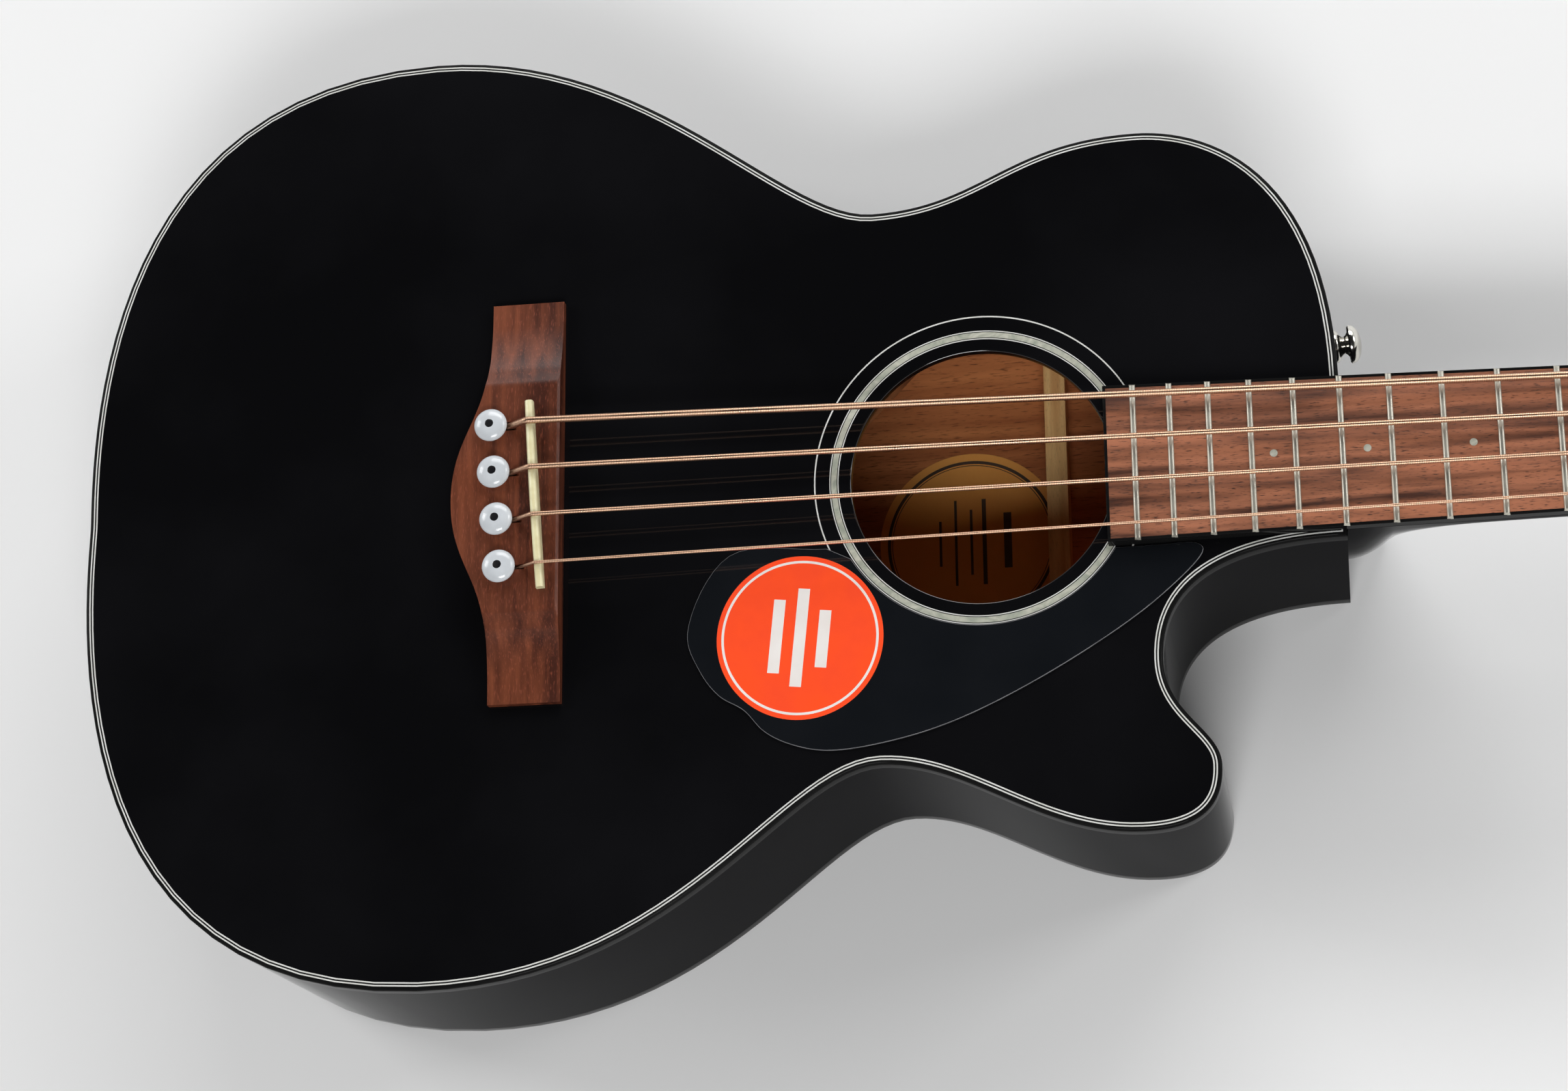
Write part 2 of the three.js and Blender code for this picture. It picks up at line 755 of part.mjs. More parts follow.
// Top, back, sides, linings and trim
function addBody() {
  const rimInset = bindingWidth + inlayGap;
  const faceInset = rimInset + purflingWidth + inlayGap;
  let top = prism(inset(outline, rimInset), -topThickness, -purflingDepth - inlayGap)
    .add(prism(inset(outline, faceInset), -topThickness, 0));
  top = top.subtract(cylinder(soundholeRadius, -topThickness - overrun, overrun, roundSideCount)
    .translate([soundholeX, 0, 0]));
  for (const [radius, width] of [[pearlRingRadius, pearlRingWidth], [thinRingRadius, thinRingWidth]]) {
    top = top.subtract(roundRing(radius - inlayGap, width + 2 * inlayGap, -rosetteDepth - inlayGap, overrun));
  }
  top = withPinHoles(top, -topThickness - overrun, overrun);
  addPiece(instrument, 'top', top, 'blackGloss');
  addPiece(instrument, 'purfling_top',
    ringPrism(rimInset, rimInset + purflingWidth, -purflingDepth, 0), 'whiteLine');
  addPiece(instrument, 'binding_top', ringPrism(0, bindingWidth, -bindingHeight, 0), 'blackPlastic');
  addPiece(instrument, 'rosette_pearl_ring',
    roundRing(pearlRingRadius, pearlRingWidth, -rosetteDepth, 0), 'pearl');
  addPiece(instrument, 'rosette_thin_ring',
    roundRing(thinRingRadius, thinRingWidth, -rosetteDepth, 0), 'whiteLine');

  const backRim = prism(inset(outline, rimInset), deepest, 0);
  addPiece(instrument, 'back', backRim.intersect(backLayer(0, backThickness)), 'blackGloss');
  addPiece(instrument, 'binding_back',
    ringPrism(0, bindingWidth, deepest, 0).intersect(backLayer(0, bindingHeight)), 'blackPlastic');

  const sideTop = -bindingHeight - jointGap;
  const sideRing = ringPrism(0, sideThickness, deepest, sideTop)
    .intersect(backLayer(bindingHeight + jointGap, 2 * ridgeDepth))
    .subtract(tenonSlot(neckJointX - 2 * sideThickness, neckJointX + overrun))
    .subtract(endButtonHole())
    .subtract(strapButtonHole());
  for (const [name, side] of [['side_bass', 1], ['side_treble', -1]]) {
    const edges = [side * seamGap / 2, side * (lowerBoutHalf + overrun)].sort((a, b) => a - b);
    const half = block(tailX - overrun, neckJointX + overrun, edges[0], edges[1], deepest, overrun);
    addPiece(instrument, name, sideRing.intersect(half), 'blackGloss');
  }

  const liningTop = ringPrism(liningOuter, liningOuter + liningWidth, braceTop - liningHeight, braceTop);
  const liningBack = ringPrism(liningOuter, liningOuter + liningWidth, deepest, 0)
    .intersect(backLayer(backThickness + jointGap, backThickness + jointGap + liningHeight));
  addPiece(instrument, 'lining_top', liningTop.subtract(neckBlockBox(jointGap)), 'mahogany');
  addPiece(instrument, 'lining_back', liningBack.subtract(neckBlockBox(jointGap)), 'mahogany');

  const cavity = prism(inset(outline, liningOuter), deepest, braceTop)
    .intersect(backLayer(backThickness + jointGap, 2 * ridgeDepth));
  const neckBlock = neckBlockBox(0).intersect(cavity)
    .subtract(tenonSlot(neckJointX - tenonLength - jointGap, neckJointX))
    .subtract(trussPassage(trussRodRadius + 2 * jointGap, 0, neckJointX))
    .subtract(strapButtonHole());
  addPiece(instrument, 'neck_block', neckBlock, 'mahogany');

  const liningZone = ringPrism(0, liningOuter + liningWidth + jointGap, deepest, 0);
  const tailBlock = block(tailX, tailX + liningOuter + tailBlockLength,
    -tailBlockWidth / 2, tailBlockWidth / 2, deepest, 0).intersect(cavity)
    .subtract(liningZone.intersect(backLayer(0, backThickness + liningHeight + 2 * jointGap)))
    .subtract(liningZone.intersect(block(tailX, 0, -tailBlockWidth, tailBlockWidth,
      braceTop - liningHeight - jointGap, 0)))
    .subtract(endButtonHole());
  addPiece(instrument, 'tail_block', tailBlock, 'mahogany');
}

// A brace under the top between two plan points, with ends that run out low
function topBrace(start, end, height) {
  const run = point(end[0] - start[0], end[1] - start[1]);
  const length = run.length();
  const profile = [
    point(0, 0), point(0, -braceTipHeight), point(braceEndLength, -height),
    point(length - braceEndLength, -height), point(length, -braceTipHeight), point(length, 0),
  ];
  const place = new THREE.Matrix4().makeTranslation(start[0], start[1], braceTop)
    .multiply(new THREE.Matrix4().makeRotationZ(run.angle()));
  return moved(prismAlongY(profile, -braceWidth / 2, braceWidth / 2), place)
    .intersect(prism(insideLinings, deepest, 0));
}

function addBraces() {
  const slopes = (crossUpperHalf + crossLowerHalf) / (crossUpperX - crossLowerX);
  const crossX = crossUpperX - crossUpperHalf / slopes;
  const lapHalf = 2 * braceWidth;
  const lapMiddle = braceTop - braceHeight / 2;
  const bars = [1, -1].map((side) => topBrace(
    [crossUpperX, side * crossUpperHalf], [crossLowerX, -side * crossLowerHalf], braceHeight));
  const fat = [1, -1].map((side) => topBraceGap(
    [crossUpperX, side * crossUpperHalf], [crossLowerX, -side * crossLowerHalf]));
  const lowerHalf = block(crossX - lapHalf, crossX + lapHalf, -lapHalf, lapHalf,
    deepest, lapMiddle + jointGap / 2);
  const upperHalf = block(crossX - lapHalf, crossX + lapHalf, -lapHalf, lapHalf,
    lapMiddle - jointGap / 2, 0);
  addPiece(instrument, 'x_brace_1', bars[0].subtract(fat[1].intersect(lowerHalf)), 'spruce');
  addPiece(instrument, 'x_brace_2', bars[1].subtract(fat[0].intersect(upperHalf)), 'spruce');
  addPiece(instrument, 'tone_bar_1', topBrace(toneBarOneStart, toneBarOneEnd, toneBarHeight), 'spruce');
  addPiece(instrument, 'tone_bar_2', topBrace(toneBarTwoStart, toneBarTwoEnd, toneBarHeight), 'spruce');
  const access = trussPassage(
    trussAccessRadius, transverseBraceX - braceWidth, transverseBraceX + braceWidth);
  const transverse = topBrace([transverseBraceX, -transverseBraceHalf],
    [transverseBraceX, transverseBraceHalf], transverseBraceHeight).subtract(access);
  addPiece(instrument, 'transverse_brace', transverse, 'spruce');

  const plate = [
    point(bridgePlateFrontX, -bridgePlateHalf), point(bridgePlateFrontX, bridgePlateHalf),
    point(bridgePlateBackX + bridgePlateTaper, bridgePlateHalf),
    point(bridgePlateBackX, bridgePlateHalf - bridgePlateTaper),
    point(bridgePlateBackX, bridgePlateTaper - bridgePlateHalf),
    point(bridgePlateBackX + bridgePlateTaper, -bridgePlateHalf),
  ];
  const bridgePlate = withPinHoles(
    prism(plate, bridgePlateTop - bridgePlateThickness, bridgePlateTop), deepest, overrun);
  addPiece(instrument, 'bridge_plate', bridgePlate, 'maple');

  backBraceStations.forEach((x, index) => {
    const low = backThickness + jointGap;
    const stations = [-1, 1].flatMap((side) => {
      const reach = reachAt(insideLinings, x, side);
      return [reach, reach - braceEndLength].map((y) => side * y);
    }).sort((a, b) => a - b);
    const heights = [backBraceTipHeight, backBraceHeight, backBraceHeight, backBraceTipHeight];
    const roof = stations.map((y, place) => point(y, archHeight(y) + low + heights[place])).reverse();
    const profile = [point(stations[0], 0), point(stations[3], 0), ...roof];
    const brace = moved(prismAlongX(profile, tailX - ridgeDepth, neckJointX + ridgeDepth), backPlace)
      .intersect(backLayer(low, 2 * ridgeDepth))
      .intersect(prism(insideLinings, deepest, 0))
      .intersect(block(x - backBraceWidth / 2, x + backBraceWidth / 2,
        -lowerBoutHalf, lowerBoutHalf, deepest, 0));
    addPiece(instrument, `back_brace_${index + 1}`, brace, 'spruce');
  });
}

// The space that a crossing brace needs
function topBraceGap(start, end) {
  const run = point(end[0] - start[0], end[1] - start[1]);
  const half = braceWidth / 2 + jointGap;
  const place = new THREE.Matrix4().makeTranslation(start[0], start[1], 0)
    .multiply(new THREE.Matrix4().makeRotationZ(run.angle()));
  return moved(block(0, run.length(), -half, half, deepest, 0), place);
}

// Bridge, saddle and pins
function bridgeOutline() {
  const wing = point(bridgeBackX, bridgeBellyHalf);
  const belly = point(bridgeBellyX, 0);
  const shares = [bellyShare, bellyShare];
  const upper = stretch(wing, 'y', belly, 'y', shares, wideStepCount);
  const lower = stretch(belly, 'y', point(bridgeBackX, -bridgeBellyHalf), 'y', shares, wideStepCount);
  return [
    point(bridgeFrontX, -bridgeHalf), point(bridgeFrontX, bridgeHalf), point(bridgeBackX, bridgeHalf),
    ...upper, ...lower, point(bridgeBackX, -bridgeBellyHalf), point(bridgeBackX, -bridgeHalf),
  ];
}

function addBridge() {
  const fall = bridgeHeight - bridgeTipHeight;
  const scoop = scoopShares.map(([along, down]) => point(
    bridgeScoopHalf + (bridgeHalf - bridgeScoopHalf) * along, bridgeHeight - fall * (1 - (1 - down) ** 2)));
  const end = bridgeHalf + overrun;
  const crown = [
    ...scoop.map((spot) => point(-spot.x, spot.y)).reverse(), ...scoop,
    point(end, bridgeTipHeight), point(end, 0), point(-end, 0), point(-end, bridgeTipHeight),
  ].reverse();
  const front = [
    point(bridgeBellyX - overrun, 0), point(bridgeFrontX, 0),
    point(bridgeFrontX, bridgeHeight - bridgeChamfer),
    point(bridgeFrontX - bridgeChamfer, bridgeHeight + jointGap),
    point(bridgeBellyX - overrun, bridgeHeight + jointGap),
  ];
  let bridge = prism(bridgeOutline(), jointGap, bridgeHeight)
    .intersect(prismAlongX(crown, bridgeBellyX - overrun, bridgeFrontX + overrun))
    .intersect(prismAlongY(front, -end, end));
  const slotHalf = saddleThickness / 2 + inlayGap;
  const slotEnd = saddleLength / 2 + inlayGap;
  const slot = block(-slotHalf, slotHalf, -slotEnd, slotEnd, saddleSeatHeight, bridgeHeight + overrun);
  bridge = withPinHoles(bridge.subtract(moved(slot, bridgePlace)), 0, bridgeHeight + overrun);
  stringNames.forEach((unused, index) => {
    const radius = stringDiameters[index] / 2 + jointGap;
    bridge = bridge.subtract(bar(bridgeRun(index).slice(2), radius, channelSideCount));
  });
  addPiece(instrument, 'bridge', bridge, 'rosewood');

  const across = Array.from({ length: saddleStepCount + 1 },
    (unused, step) => saddleLength * (0.5 - step / saddleStepCount));
  const shoulder = saddleThickness / 2;
  const rings = across.map((y) => {
    const top = crownHeight(y) - shoulder;
    const arch = Array.from({ length: saddleArchStepCount + 1 }, (unused, step) => {
      const angle = Math.PI * step / saddleArchStepCount;
      return new THREE.Vector3(shoulder * Math.cos(angle), y, top + shoulder * Math.sin(angle));
    });
    const seat = saddleSeatHeight + jointGap;
    return [...arch, new THREE.Vector3(-shoulder, y, seat), new THREE.Vector3(shoulder, y, seat)];
  });
  addPiece(instrument, 'saddle', moved(loft(rings), bridgePlace), 'bone');

  stringNames.forEach((name, index) => {
    const centre = pinPoint(index);
    const seat = bridgeHeight + jointGap;
    const rim = seat + pinCollarHeight;
    const head = pinHeadShares.map(([out, up]) => [pinHeadRadius * out, rim + pinHeadHeight * up]);
    const profile = [
      [0, seat - pinLength], [pinTipRadius / 2, seat - pinLength],
      [pinTipRadius, seat - pinLength + pinTipRadius / 2], [pinTopRadius, seat],
      [pinCollarRadius, seat], [pinCollarRadius, rim], ...head,
    ];
    const half = stringDiameters[index] / 2 + jointGap;
    const flute = block(pinFluteOffset - half, pinHeadRadius + overrun,
      -half, half, seat - pinLength - overrun, rim);
    const pin = turned(profile, pinSideCount).subtract(flute).translate([centre.x, centre.y, 0]);
    addPiece(instrument, `bridge_pin_${name}`, pin, 'whitePlastic');
  });
}

// The string's way from its ball end, up the pin's flute and over the saddle
function bridgeRun(index) {
  const radius = stringDiameters[index] / 2;
  const pin = pinPoint(index);
  const saddle = saddlePoint(index);
  const under = bridgePlateTop - bridgePlateThickness;
  const at = (x, z) => new THREE.Vector3(x, pin.y, z);
  const rise = saddleThickness / 2 + inlayGap + radius;
  const middle = crownHeight(pin.y) - saddleThickness / 2;
  const onSaddle = (angle) => at(saddle.x - rise * Math.sin(angle), middle + rise * Math.cos(angle));
  const touch = onSaddle(breakAngle);
  const leaveX = pin.x + bendReach;
  const leave = at(leaveX, touch.z - (touch.x - leaveX) * Math.tan(breakAngle));
  const bend = new THREE.CubicBezierCurve3(
    at(pin.x + pinFluteOffset, bendStart),
    at(pin.x + pinFluteOffset, bendStart + bendHandle),
    at(leaveX - bendHandle * Math.cos(breakAngle), leave.z - bendHandle * Math.sin(breakAngle)),
    leave);
  return [
    at(pin.x + ballOffset, under - ballDrop), at(pin.x + pinFluteOffset, under - ballEntryDrop),
    ...bend.getPoints(bendStepCount),
    touch, onSaddle(breakAngle / 2), onSaddle(0),
  ];
}

function addPickguard() {
  const radius = pearlRingRadius + pearlRingWidth + pickguardInnerGap;
  const inner = Array.from({ length: pickguardArcCount + 1 }, (unused, step) => {
    const angle = deg * (pickguardArcStartDeg
      + (pickguardArcEndDeg - pickguardArcStartDeg) * step / pickguardArcCount);
    return point(soundholeX + radius * Math.cos(angle), radius * Math.sin(angle));
  });
  const corners = pickguardOuterShares.map(([x, y]) => new THREE.Vector3(
    soundholeX + pickguardReach * x, pickguardReach * y, 0));
  const outer = new THREE.CatmullRomCurve3(corners).getPoints(pickguardOuterStepCount)
    .map((spot) => point(spot.x, spot.y));
  addPiece(instrument, 'pickguard',
    prism([...inner, ...outer], jointGap, jointGap + pickguardThickness), 'blackPlastic');
}

// Fingerboard, frets and nut, in the neck frame
function boardHalfAt(x) {
  const share = (x - boardEndX) / (scaleLength - boardEndX);
  return boardEndHalf + (boardNutHalf - boardEndHalf) * share;
}

function camberFall(y) {
  return -y * y / (2 * boardCamberRadius);
}

function spread(half, count) {
  return Array.from({ length: count + 1 }, (unused, step) => half * (2 * step / count - 1));
}

function addFingerboard() {
  const nutEnd = boardHalfAt(boardLength);
  const plan = [
    point(boardEndX, boardCorner - boardEndHalf), point(boardEndX + boardCorner, -boardEndHalf),
    point(boardLength, -nutEnd), point(boardLength, nutEnd),
    point(boardEndX + boardCorner, boardEndHalf), point(boardEndX, boardEndHalf - boardCorner),
  ];
  const underEnd = jointGap - boardEndHeight;
  const profile = [
    point(boardEndX, underEnd), point(neckJointX, -boardThickness), point(boardLength, -boardThickness),
    point(boardLength, boardThickness), point(boardEndX, boardThickness),
  ];
  const wide = boardEndHalf + overrun;
  const camber = spread(wide, camberStepCount + 1).map((y) => point(y, camberFall(y)));
  const crown = [...camber, point(wide, -boardEndHeight - overrun), point(-wide, -boardEndHeight - overrun)];
  let board = prism(plan, -boardEndHeight, boardThickness)
    .intersect(prismAlongY(profile, -wide, wide))
    .intersect(prismAlongX(crown.reverse(), boardEndX, boardLength));
  for (let number = 1; number <= fretCount; number += 1) {
    board = board.add(fret(stationOfFret(number)));
  }
  addPiece(neckGroup, 'fretboard', board, 'rosewood');
}

function fret(x) {
  const half = boardHalfAt(x);
  const stations = spread(half, camberStepCount);
  const rings = stations.map((y, step) => {
    const last = step === 0 || step === camberStepCount;
    const topY = last ? y - Math.sign(y) * fretEndBevel : y;
    const low = camberFall(y) - fretSink;
    const high = camberFall(y) + fretHeight;
    return [
      new THREE.Vector3(x - fretWidth / 2, y, low), new THREE.Vector3(x + fretWidth / 2, y, low),
      new THREE.Vector3(x + fretTopWidth / 2, topY, high),
      new THREE.Vector3(x - fretTopWidth / 2, topY, high),
    ];
  });
  return loft(rings);
}

function stringAtNut(index) {
  const y = stringSpreadAtNut * stringShare(index);
  const radius = stringDiameters[index] / 2;
  return new THREE.Vector3(scaleLength, y, camberFall(y) + fretHeight + nutSlotRise + inlayGap + radius);
}

function addNut() {
  const half = boardNutHalf - nutSideMargin;
  const crown = spread(half, camberStepCount).map((y) => point(y, camberFall(y) + nutRise));
  const profile = [...crown, point(half, neckTop + jointGap), point(-half, neckTop + jointGap)].reverse();
  let nut = prismAlongX(profile, scaleLength, scaleLength + nutThickness);
  stringNames.forEach((unused, index) => {
    const toNeck = neckPlace.clone().invert();
    const path = stringPath(index).nearNut.map((spot) => spot.clone().applyMatrix4(toNeck));
    nut = nut.subtract(bar(path, stringDiameters[index] / 2 + inlayGap, channelSideCount));
  });
  addPiece(neckGroup, 'nut', nut, 'bone');
}

// Neck with its heel, tenon and headstock, in the neck frame
function floorDepthAt(x) {
  const ridge = boardEndHeight - (x - boardEndX) * Math.tan(neckFall);
  return ridge + ridgeDepth - depthFallSlopeShare * x;
}

const heelStart = neckJointX + jointGap;
const heelDepth = floorDepthAt(heelStart + heelFootLength) - heelCapClearance - heelCapThickness - jointGap;

function neckSection(x, depth, heelShare) {
  const half = boardHalfAt(Math.min(x, scaleLength));
  const height = depth + neckTop;
  const side = sectionDepthShares.map((down, index) => {
    const width = shaftWidthShares[index] + (heelWidthShares[index] - shaftWidthShares[index]) * heelShare;
    return [half * width, neckTop - height * down];
  });
  const left = side.map(([y, z]) => new THREE.Vector3(x, y, z));
  const right = side.map(([y, z]) => new THREE.Vector3(x, -y, z)).reverse();
  return [...left, ...right];
}

function shaftDepthAt(x) {
  const share = (x - heelStart) / (scaleLength - heelStart);
  return shaftDepthAtHeel + (shaftDepthAtNut - shaftDepthAtHeel) * share;
}

function heelSection(step) {
  const foot = heelStart + heelFootLength;
  const x = foot + (heelLength - heelFootLength) * step / heelStationCount;
  const heelShare = (1 - step / heelStationCount) ** heelPowerShare;
  const shaft = shaftDepthAt(x);
  return neckSection(x, shaft + (heelDepth - shaft) * heelShare, heelShare);
}

function headOutline() {
  const throat = point(0, boardHalfAt(scaleLength));
  const shoulder = point(headShoulderX, headShoulderHalf);
  const corner = point(headLength, headEndHalf);
  const tip = point(headLength + headCrownHeight, 0);
  const half = [
    ...stretch(throat, 'x', shoulder, 'x', headCurveShares, headStepCount),
    shoulder,
    ...stretch(corner, 'x', tip, 'y', headCrownShares, headStepCount),
  ];
  return [...half.map((spot) => point(spot.x, -spot.y)), tip, ...half.reverse()];
}

// What lies behind the face that the heel is bolted to
function insideBody() {
  const room = block(0, heelStart, -boardEndHalf, boardEndHalf, deepest, 0);
  return moved(room, neckPlace.clone().invert());
}

function addNeck() {
  const heelSections = Array.from({ length: heelStationCount + 1 }, (unused, step) => heelSection(step));
  const throatX = scaleLength + nutThickness + throatLength;
  const shaft = loft([
    neckSection(heelStart, heelDepth, 1), ...heelSections,
    neckSection(scaleLength, shaftDepthAtNut, 0), neckSection(throatX, shaftDepthAtNut, 0),
  ]);
  const aboveFace = moved(
    block(0, 2 * throatLength, -headEndHalf, headEndHalf, 0, shaftDepthAtNut), headPlace);
  const head = moved(prism(headOutline(), -headThickness, 0), headPlace);
  const tenon = block(neckJointX - tenonLength, heelStart + trussRodRadius,
    -tenonWidth / 2, tenonWidth / 2, tenonBottom, tenonTop);
  const toNeck = neckPlace.clone().invert();
  const channelEnd = scaleLength - trussRodStopShort + jointGap;
  const channel = trussPassage(trussRodRadius + jointGap, 0, channelEnd);
  let neck = shaft.subtract(aboveFace).add(head).subtract(insideBody())
    .add(moved(tenon, toNeck)).subtract(moved(channel, toNeck));
  postPlaces().forEach(({ x, y }) => {
    const radius = postLowRadius + runningGap + bushingWall + runningGap;
    const hole = cylinder(radius, -headThickness - overrun, overrun, postSideCount);
    neck = neck.subtract(moved(hole.translate([x, y, 0]), headPlace));
  });
  addPiece(neckGroup, 'neck', neck, 'mahogany');

  const foot = boardHalfAt(heelStart) * heelWidthShares[heelWidthShares.length - 1];
  const capPlan = [
    point(heelStart, -foot), point(heelStart + heelFootLength - heelCapCorner, -foot),
    point(heelStart + heelFootLength, heelCapCorner - foot),
    point(heelStart + heelFootLength, foot - heelCapCorner),
    point(heelStart + heelFootLength - heelCapCorner, foot), point(heelStart, foot),
  ];
  const capTop = -heelDepth - jointGap;
  const cap = prism(capPlan, capTop - heelCapThickness, capTop).subtract(insideBody());
  addPiece(neckGroup, 'heel_cap', cap, 'blackPlastic');
}

function addTrussRod() {
  const nutEnd = trussNutX + trussNutLength;
  const rodStart = nutEnd - trussNutBoreDepth + jointGap;
  const rodEnd = scaleLength - trussRodStopShort;
  addPiece(instrument, 'truss_rod', trussPassage(trussRodRadius, rodStart, rodEnd), 'steel');
  const key = prismAlongX(circle(0, -trussRodDepth, trussKeyRadius, hexSideCount),
    trussNutX - jointGap, trussNutX + trussKeyDepth);
  const nut = trussPassage(trussNutRadius, trussNutX, nutEnd)
    .subtract(trussPassage(trussRodRadius + jointGap, nutEnd - trussNutBoreDepth, nutEnd + overrun))
    .subtract(key);
  addPiece(instrument, 'truss_rod_nut', nut, 'brass');
}

// Tuners, in the head frame; the treble side mirrors the bass side
function postPlaces() {
  const [near, far] = postStations;
  return [
    { x: near, y: postHalf }, { x: far, y: postHalf },
    { x: far, y: -postHalf }, { x: near, y: -postHalf },
  ];
}

function gearWheel() {
  const root = gearPitchRadius - gearToothHeight / 2;
  const tip = gearPitchRadius + gearToothHeight / 2;
  const pitchAngle = 2 * Math.PI / gearToothCount;
  const slant = wormLead / (2 * Math.PI * wormPitchRadius) / gearPitchRadius;
  const corners = [
    [-toothRootShare / 2, root], [-toothTipShare / 2, tip],
    [toothTipShare / 2, tip], [toothRootShare / 2, root],
  ];
  const rings = [-0.5, 0.5].map((level) => {
    const height = gearThickness * level;
    return Array.from({ length: gearToothCount }, (unused, tooth) => corners.map(([share, radius]) => {
      const angle = Math.PI + pitchAngle * (tooth + share) - slant * height;
      return new THREE.Vector3(radius * Math.cos(angle), radius * Math.sin(angle), gearMiddle + height);
    })).flat();
  });
  return loft(rings);
}

// One thread of the worm, turning as it runs along y past the wheel
function worm() {
  const root = wormPitchRadius - wormThreadHeight / 2;
  const stepCount = wormTurnCount * wormStepsPerTurnCount;
  const rings = Array.from({ length: stepCount + 1 }, (unused, step) => {
    const along = wormLength * (step / stepCount - 0.5);
    const turn = Math.PI + 2 * Math.PI * along / wormLead;
    return threadShares.map(([share, up]) => {
      const angle = turn + 2 * Math.PI * share;
      const radius = root + wormThreadHeight * up;
      return new THREE.Vector3(radius * Math.cos(angle), along, radius * Math.sin(angle));
    });
  });
  return loft(rings);
}

function alongY(radius, low, high, count) {
  return cylinder(radius, low, high, count).rotate([-90, 0, 0]);
}

function knobOutline(middle) {
  return Array.from({ length: knobSideCount }, (unused, step) => {
    const angle = 2 * Math.PI * step / knobSideCount;
    const bend = (value) => Math.sign(value) * Math.abs(value) ** (2 / knobPowerShare);
    return point(
      (knobHalfWidth - knobBevel) * bend(Math.cos(angle)),
      middle + (knobLength / 2 - knobBevel) * bend(Math.sin(angle)));
  });
}

function tunerKey() {
  const lugEnd = wormLength / 2 + jointGap + lugThickness;
  const stemStart = headEndHalf + knobEdgeGap - postHalf;
  const knobStart = stemStart + knobStemLength;
  const shaft = alongY(keyShaftRadius, -lugEnd - keyShaftEnd, knobStart + knobStemLength, holeSideCount);
  const stem = alongY(knobStemRadius, stemStart, knobStart + knobStemLength, holeSideCount);
  const shape = new THREE.Shape(knobOutline(knobStart + knobLength / 2));
  const flat = knobThickness - 2 * knobBevel;
  const knob = solid(new THREE.ExtrudeGeometry(shape, {
    depth: flat, bevelEnabled: true, bevelThickness: knobBevel, bevelSize: knobBevel, bevelSegments: 1,
  }).translate(0, 0, -flat / 2));
  return worm().add(shaft).add(stem).add(knob).translate([-gearCentreDistance, 0, gearMiddle]);
}

function tunerPlate() {
  const middle = -gearCentreDistance / 2;
  const [halfX, halfY, corner] = [tunerPlateLength / 2, tunerPlateWidth / 2, tunerPlateCorner];
  const plan = [[1, -1], [1, 1], [-1, 1], [-1, -1]].flatMap(([x, y]) => {
    const ends = [
      point(middle + x * halfX, y * (halfY - corner)), point(middle + x * (halfX - corner), y * halfY)];
    return x === y ? ends : ends.reverse();
  });
  const bottom = tunerBack - tunerPlateThickness;
  let plate = prism(plan, bottom, tunerBack);
  for (const side of [-1, 1]) {
    const near = side * (wormLength / 2 + jointGap);
    const far = near + side * lugThickness;
    plate = plate.add(block(-gearCentreDistance - lugHalfWidth, -gearCentreDistance + lugHalfWidth,
      Math.min(near, far), Math.max(near, far), gearMiddle - lugHalfWidth, bottom + tunerPlateThickness / 2));
  }
  const boreRadius = keyShaftRadius + runningGap + inlayGap;
  const bore = alongY(boreRadius, -tunerPlateWidth, tunerPlateWidth, holeSideCount)
    .translate([-gearCentreDistance, 0, gearMiddle]);
  const postHole = cylinder(postLowRadius + jointGap, bottom - overrun, tunerBack + overrun, postSideCount);
  return plate.subtract(bore).subtract(postHole);
}

function tunerPost(index) {
  const gearBottom = gearMiddle - gearThickness / 2;
  const rimBase = postHeight - postRimHeight;
  const profile = [
    [0, gearBottom - postScrewHeight], [postScrewRadius, gearBottom - postScrewHeight],
    [postScrewRadius, gearBottom], [postLowRadius, gearBottom], [postLowRadius, postWaistBase],
    [postWaistRadius, postWaistBase + postFillet], [postWaistRadius, rimBase - postFillet],
    [postRimRadius, rimBase + postFillet], [postRimRadius, postHeight - postFillet],
    [postRimRadius - postFillet, postHeight], [0, postHeight],
  ];
  const half = stringDiameters[index] / 2 + slotSideGap;
  const reach = postRimRadius + overrun;
  const slot = block(-reach, reach, -half, half, slotFloor, postHeight + overrun)
    .rotate([0, 0, windingAngles(index).slot / deg]);
  const bore = cylinder(postBoreRadius, postHeight - postBoreDepth, postHeight + overrun, holeSideCount);
  return turned(profile, postSideCount).add(gearWheel()).subtract(slot).subtract(bore);
}

function tunerBushing() {
  const inner = postLowRadius + runningGap;
  const outer = inner + bushingWall;
  const top = jointGap + bushingFlangeHeight;
  return turned([
    [inner, jointGap - bushingLength], [outer, jointGap - bushingLength], [outer, jointGap],
    [bushingFlangeRadius, jointGap], [bushingFlangeRadius - jointGap, top], [inner, top],
    [inner, jointGap - bushingLength],
  ], postSideCount);
}

function addTuners() {
  postPlaces().forEach(({ x, y }, index) => {
    const name = stringNames[index];
    const side = Math.sign(y);
    const pieces = [
      ['plate', tunerPlate(), 'nickel'], ['key', tunerKey(), 'nickel'],
      ['post', tunerPost(index), 'nickel'], ['bushing', tunerBushing(), 'nickel'],
    ];
    for (const [part, made, finish] of pieces) {
      const sided = side > 0 ? made : made.mirror([0, 1, 0]);
      addPiece(headGroup, `tuner_${name}_${part}`, sided.translate([x, y, 0]), finish);
    }
  });
}

// Strings, in the instrument frame
const slotFloor = postHeight - postSlotDepth;

function toSide(spot, side) {
  return new THREE.Vector3(spot.x, spot.y * side, spot.z);
}

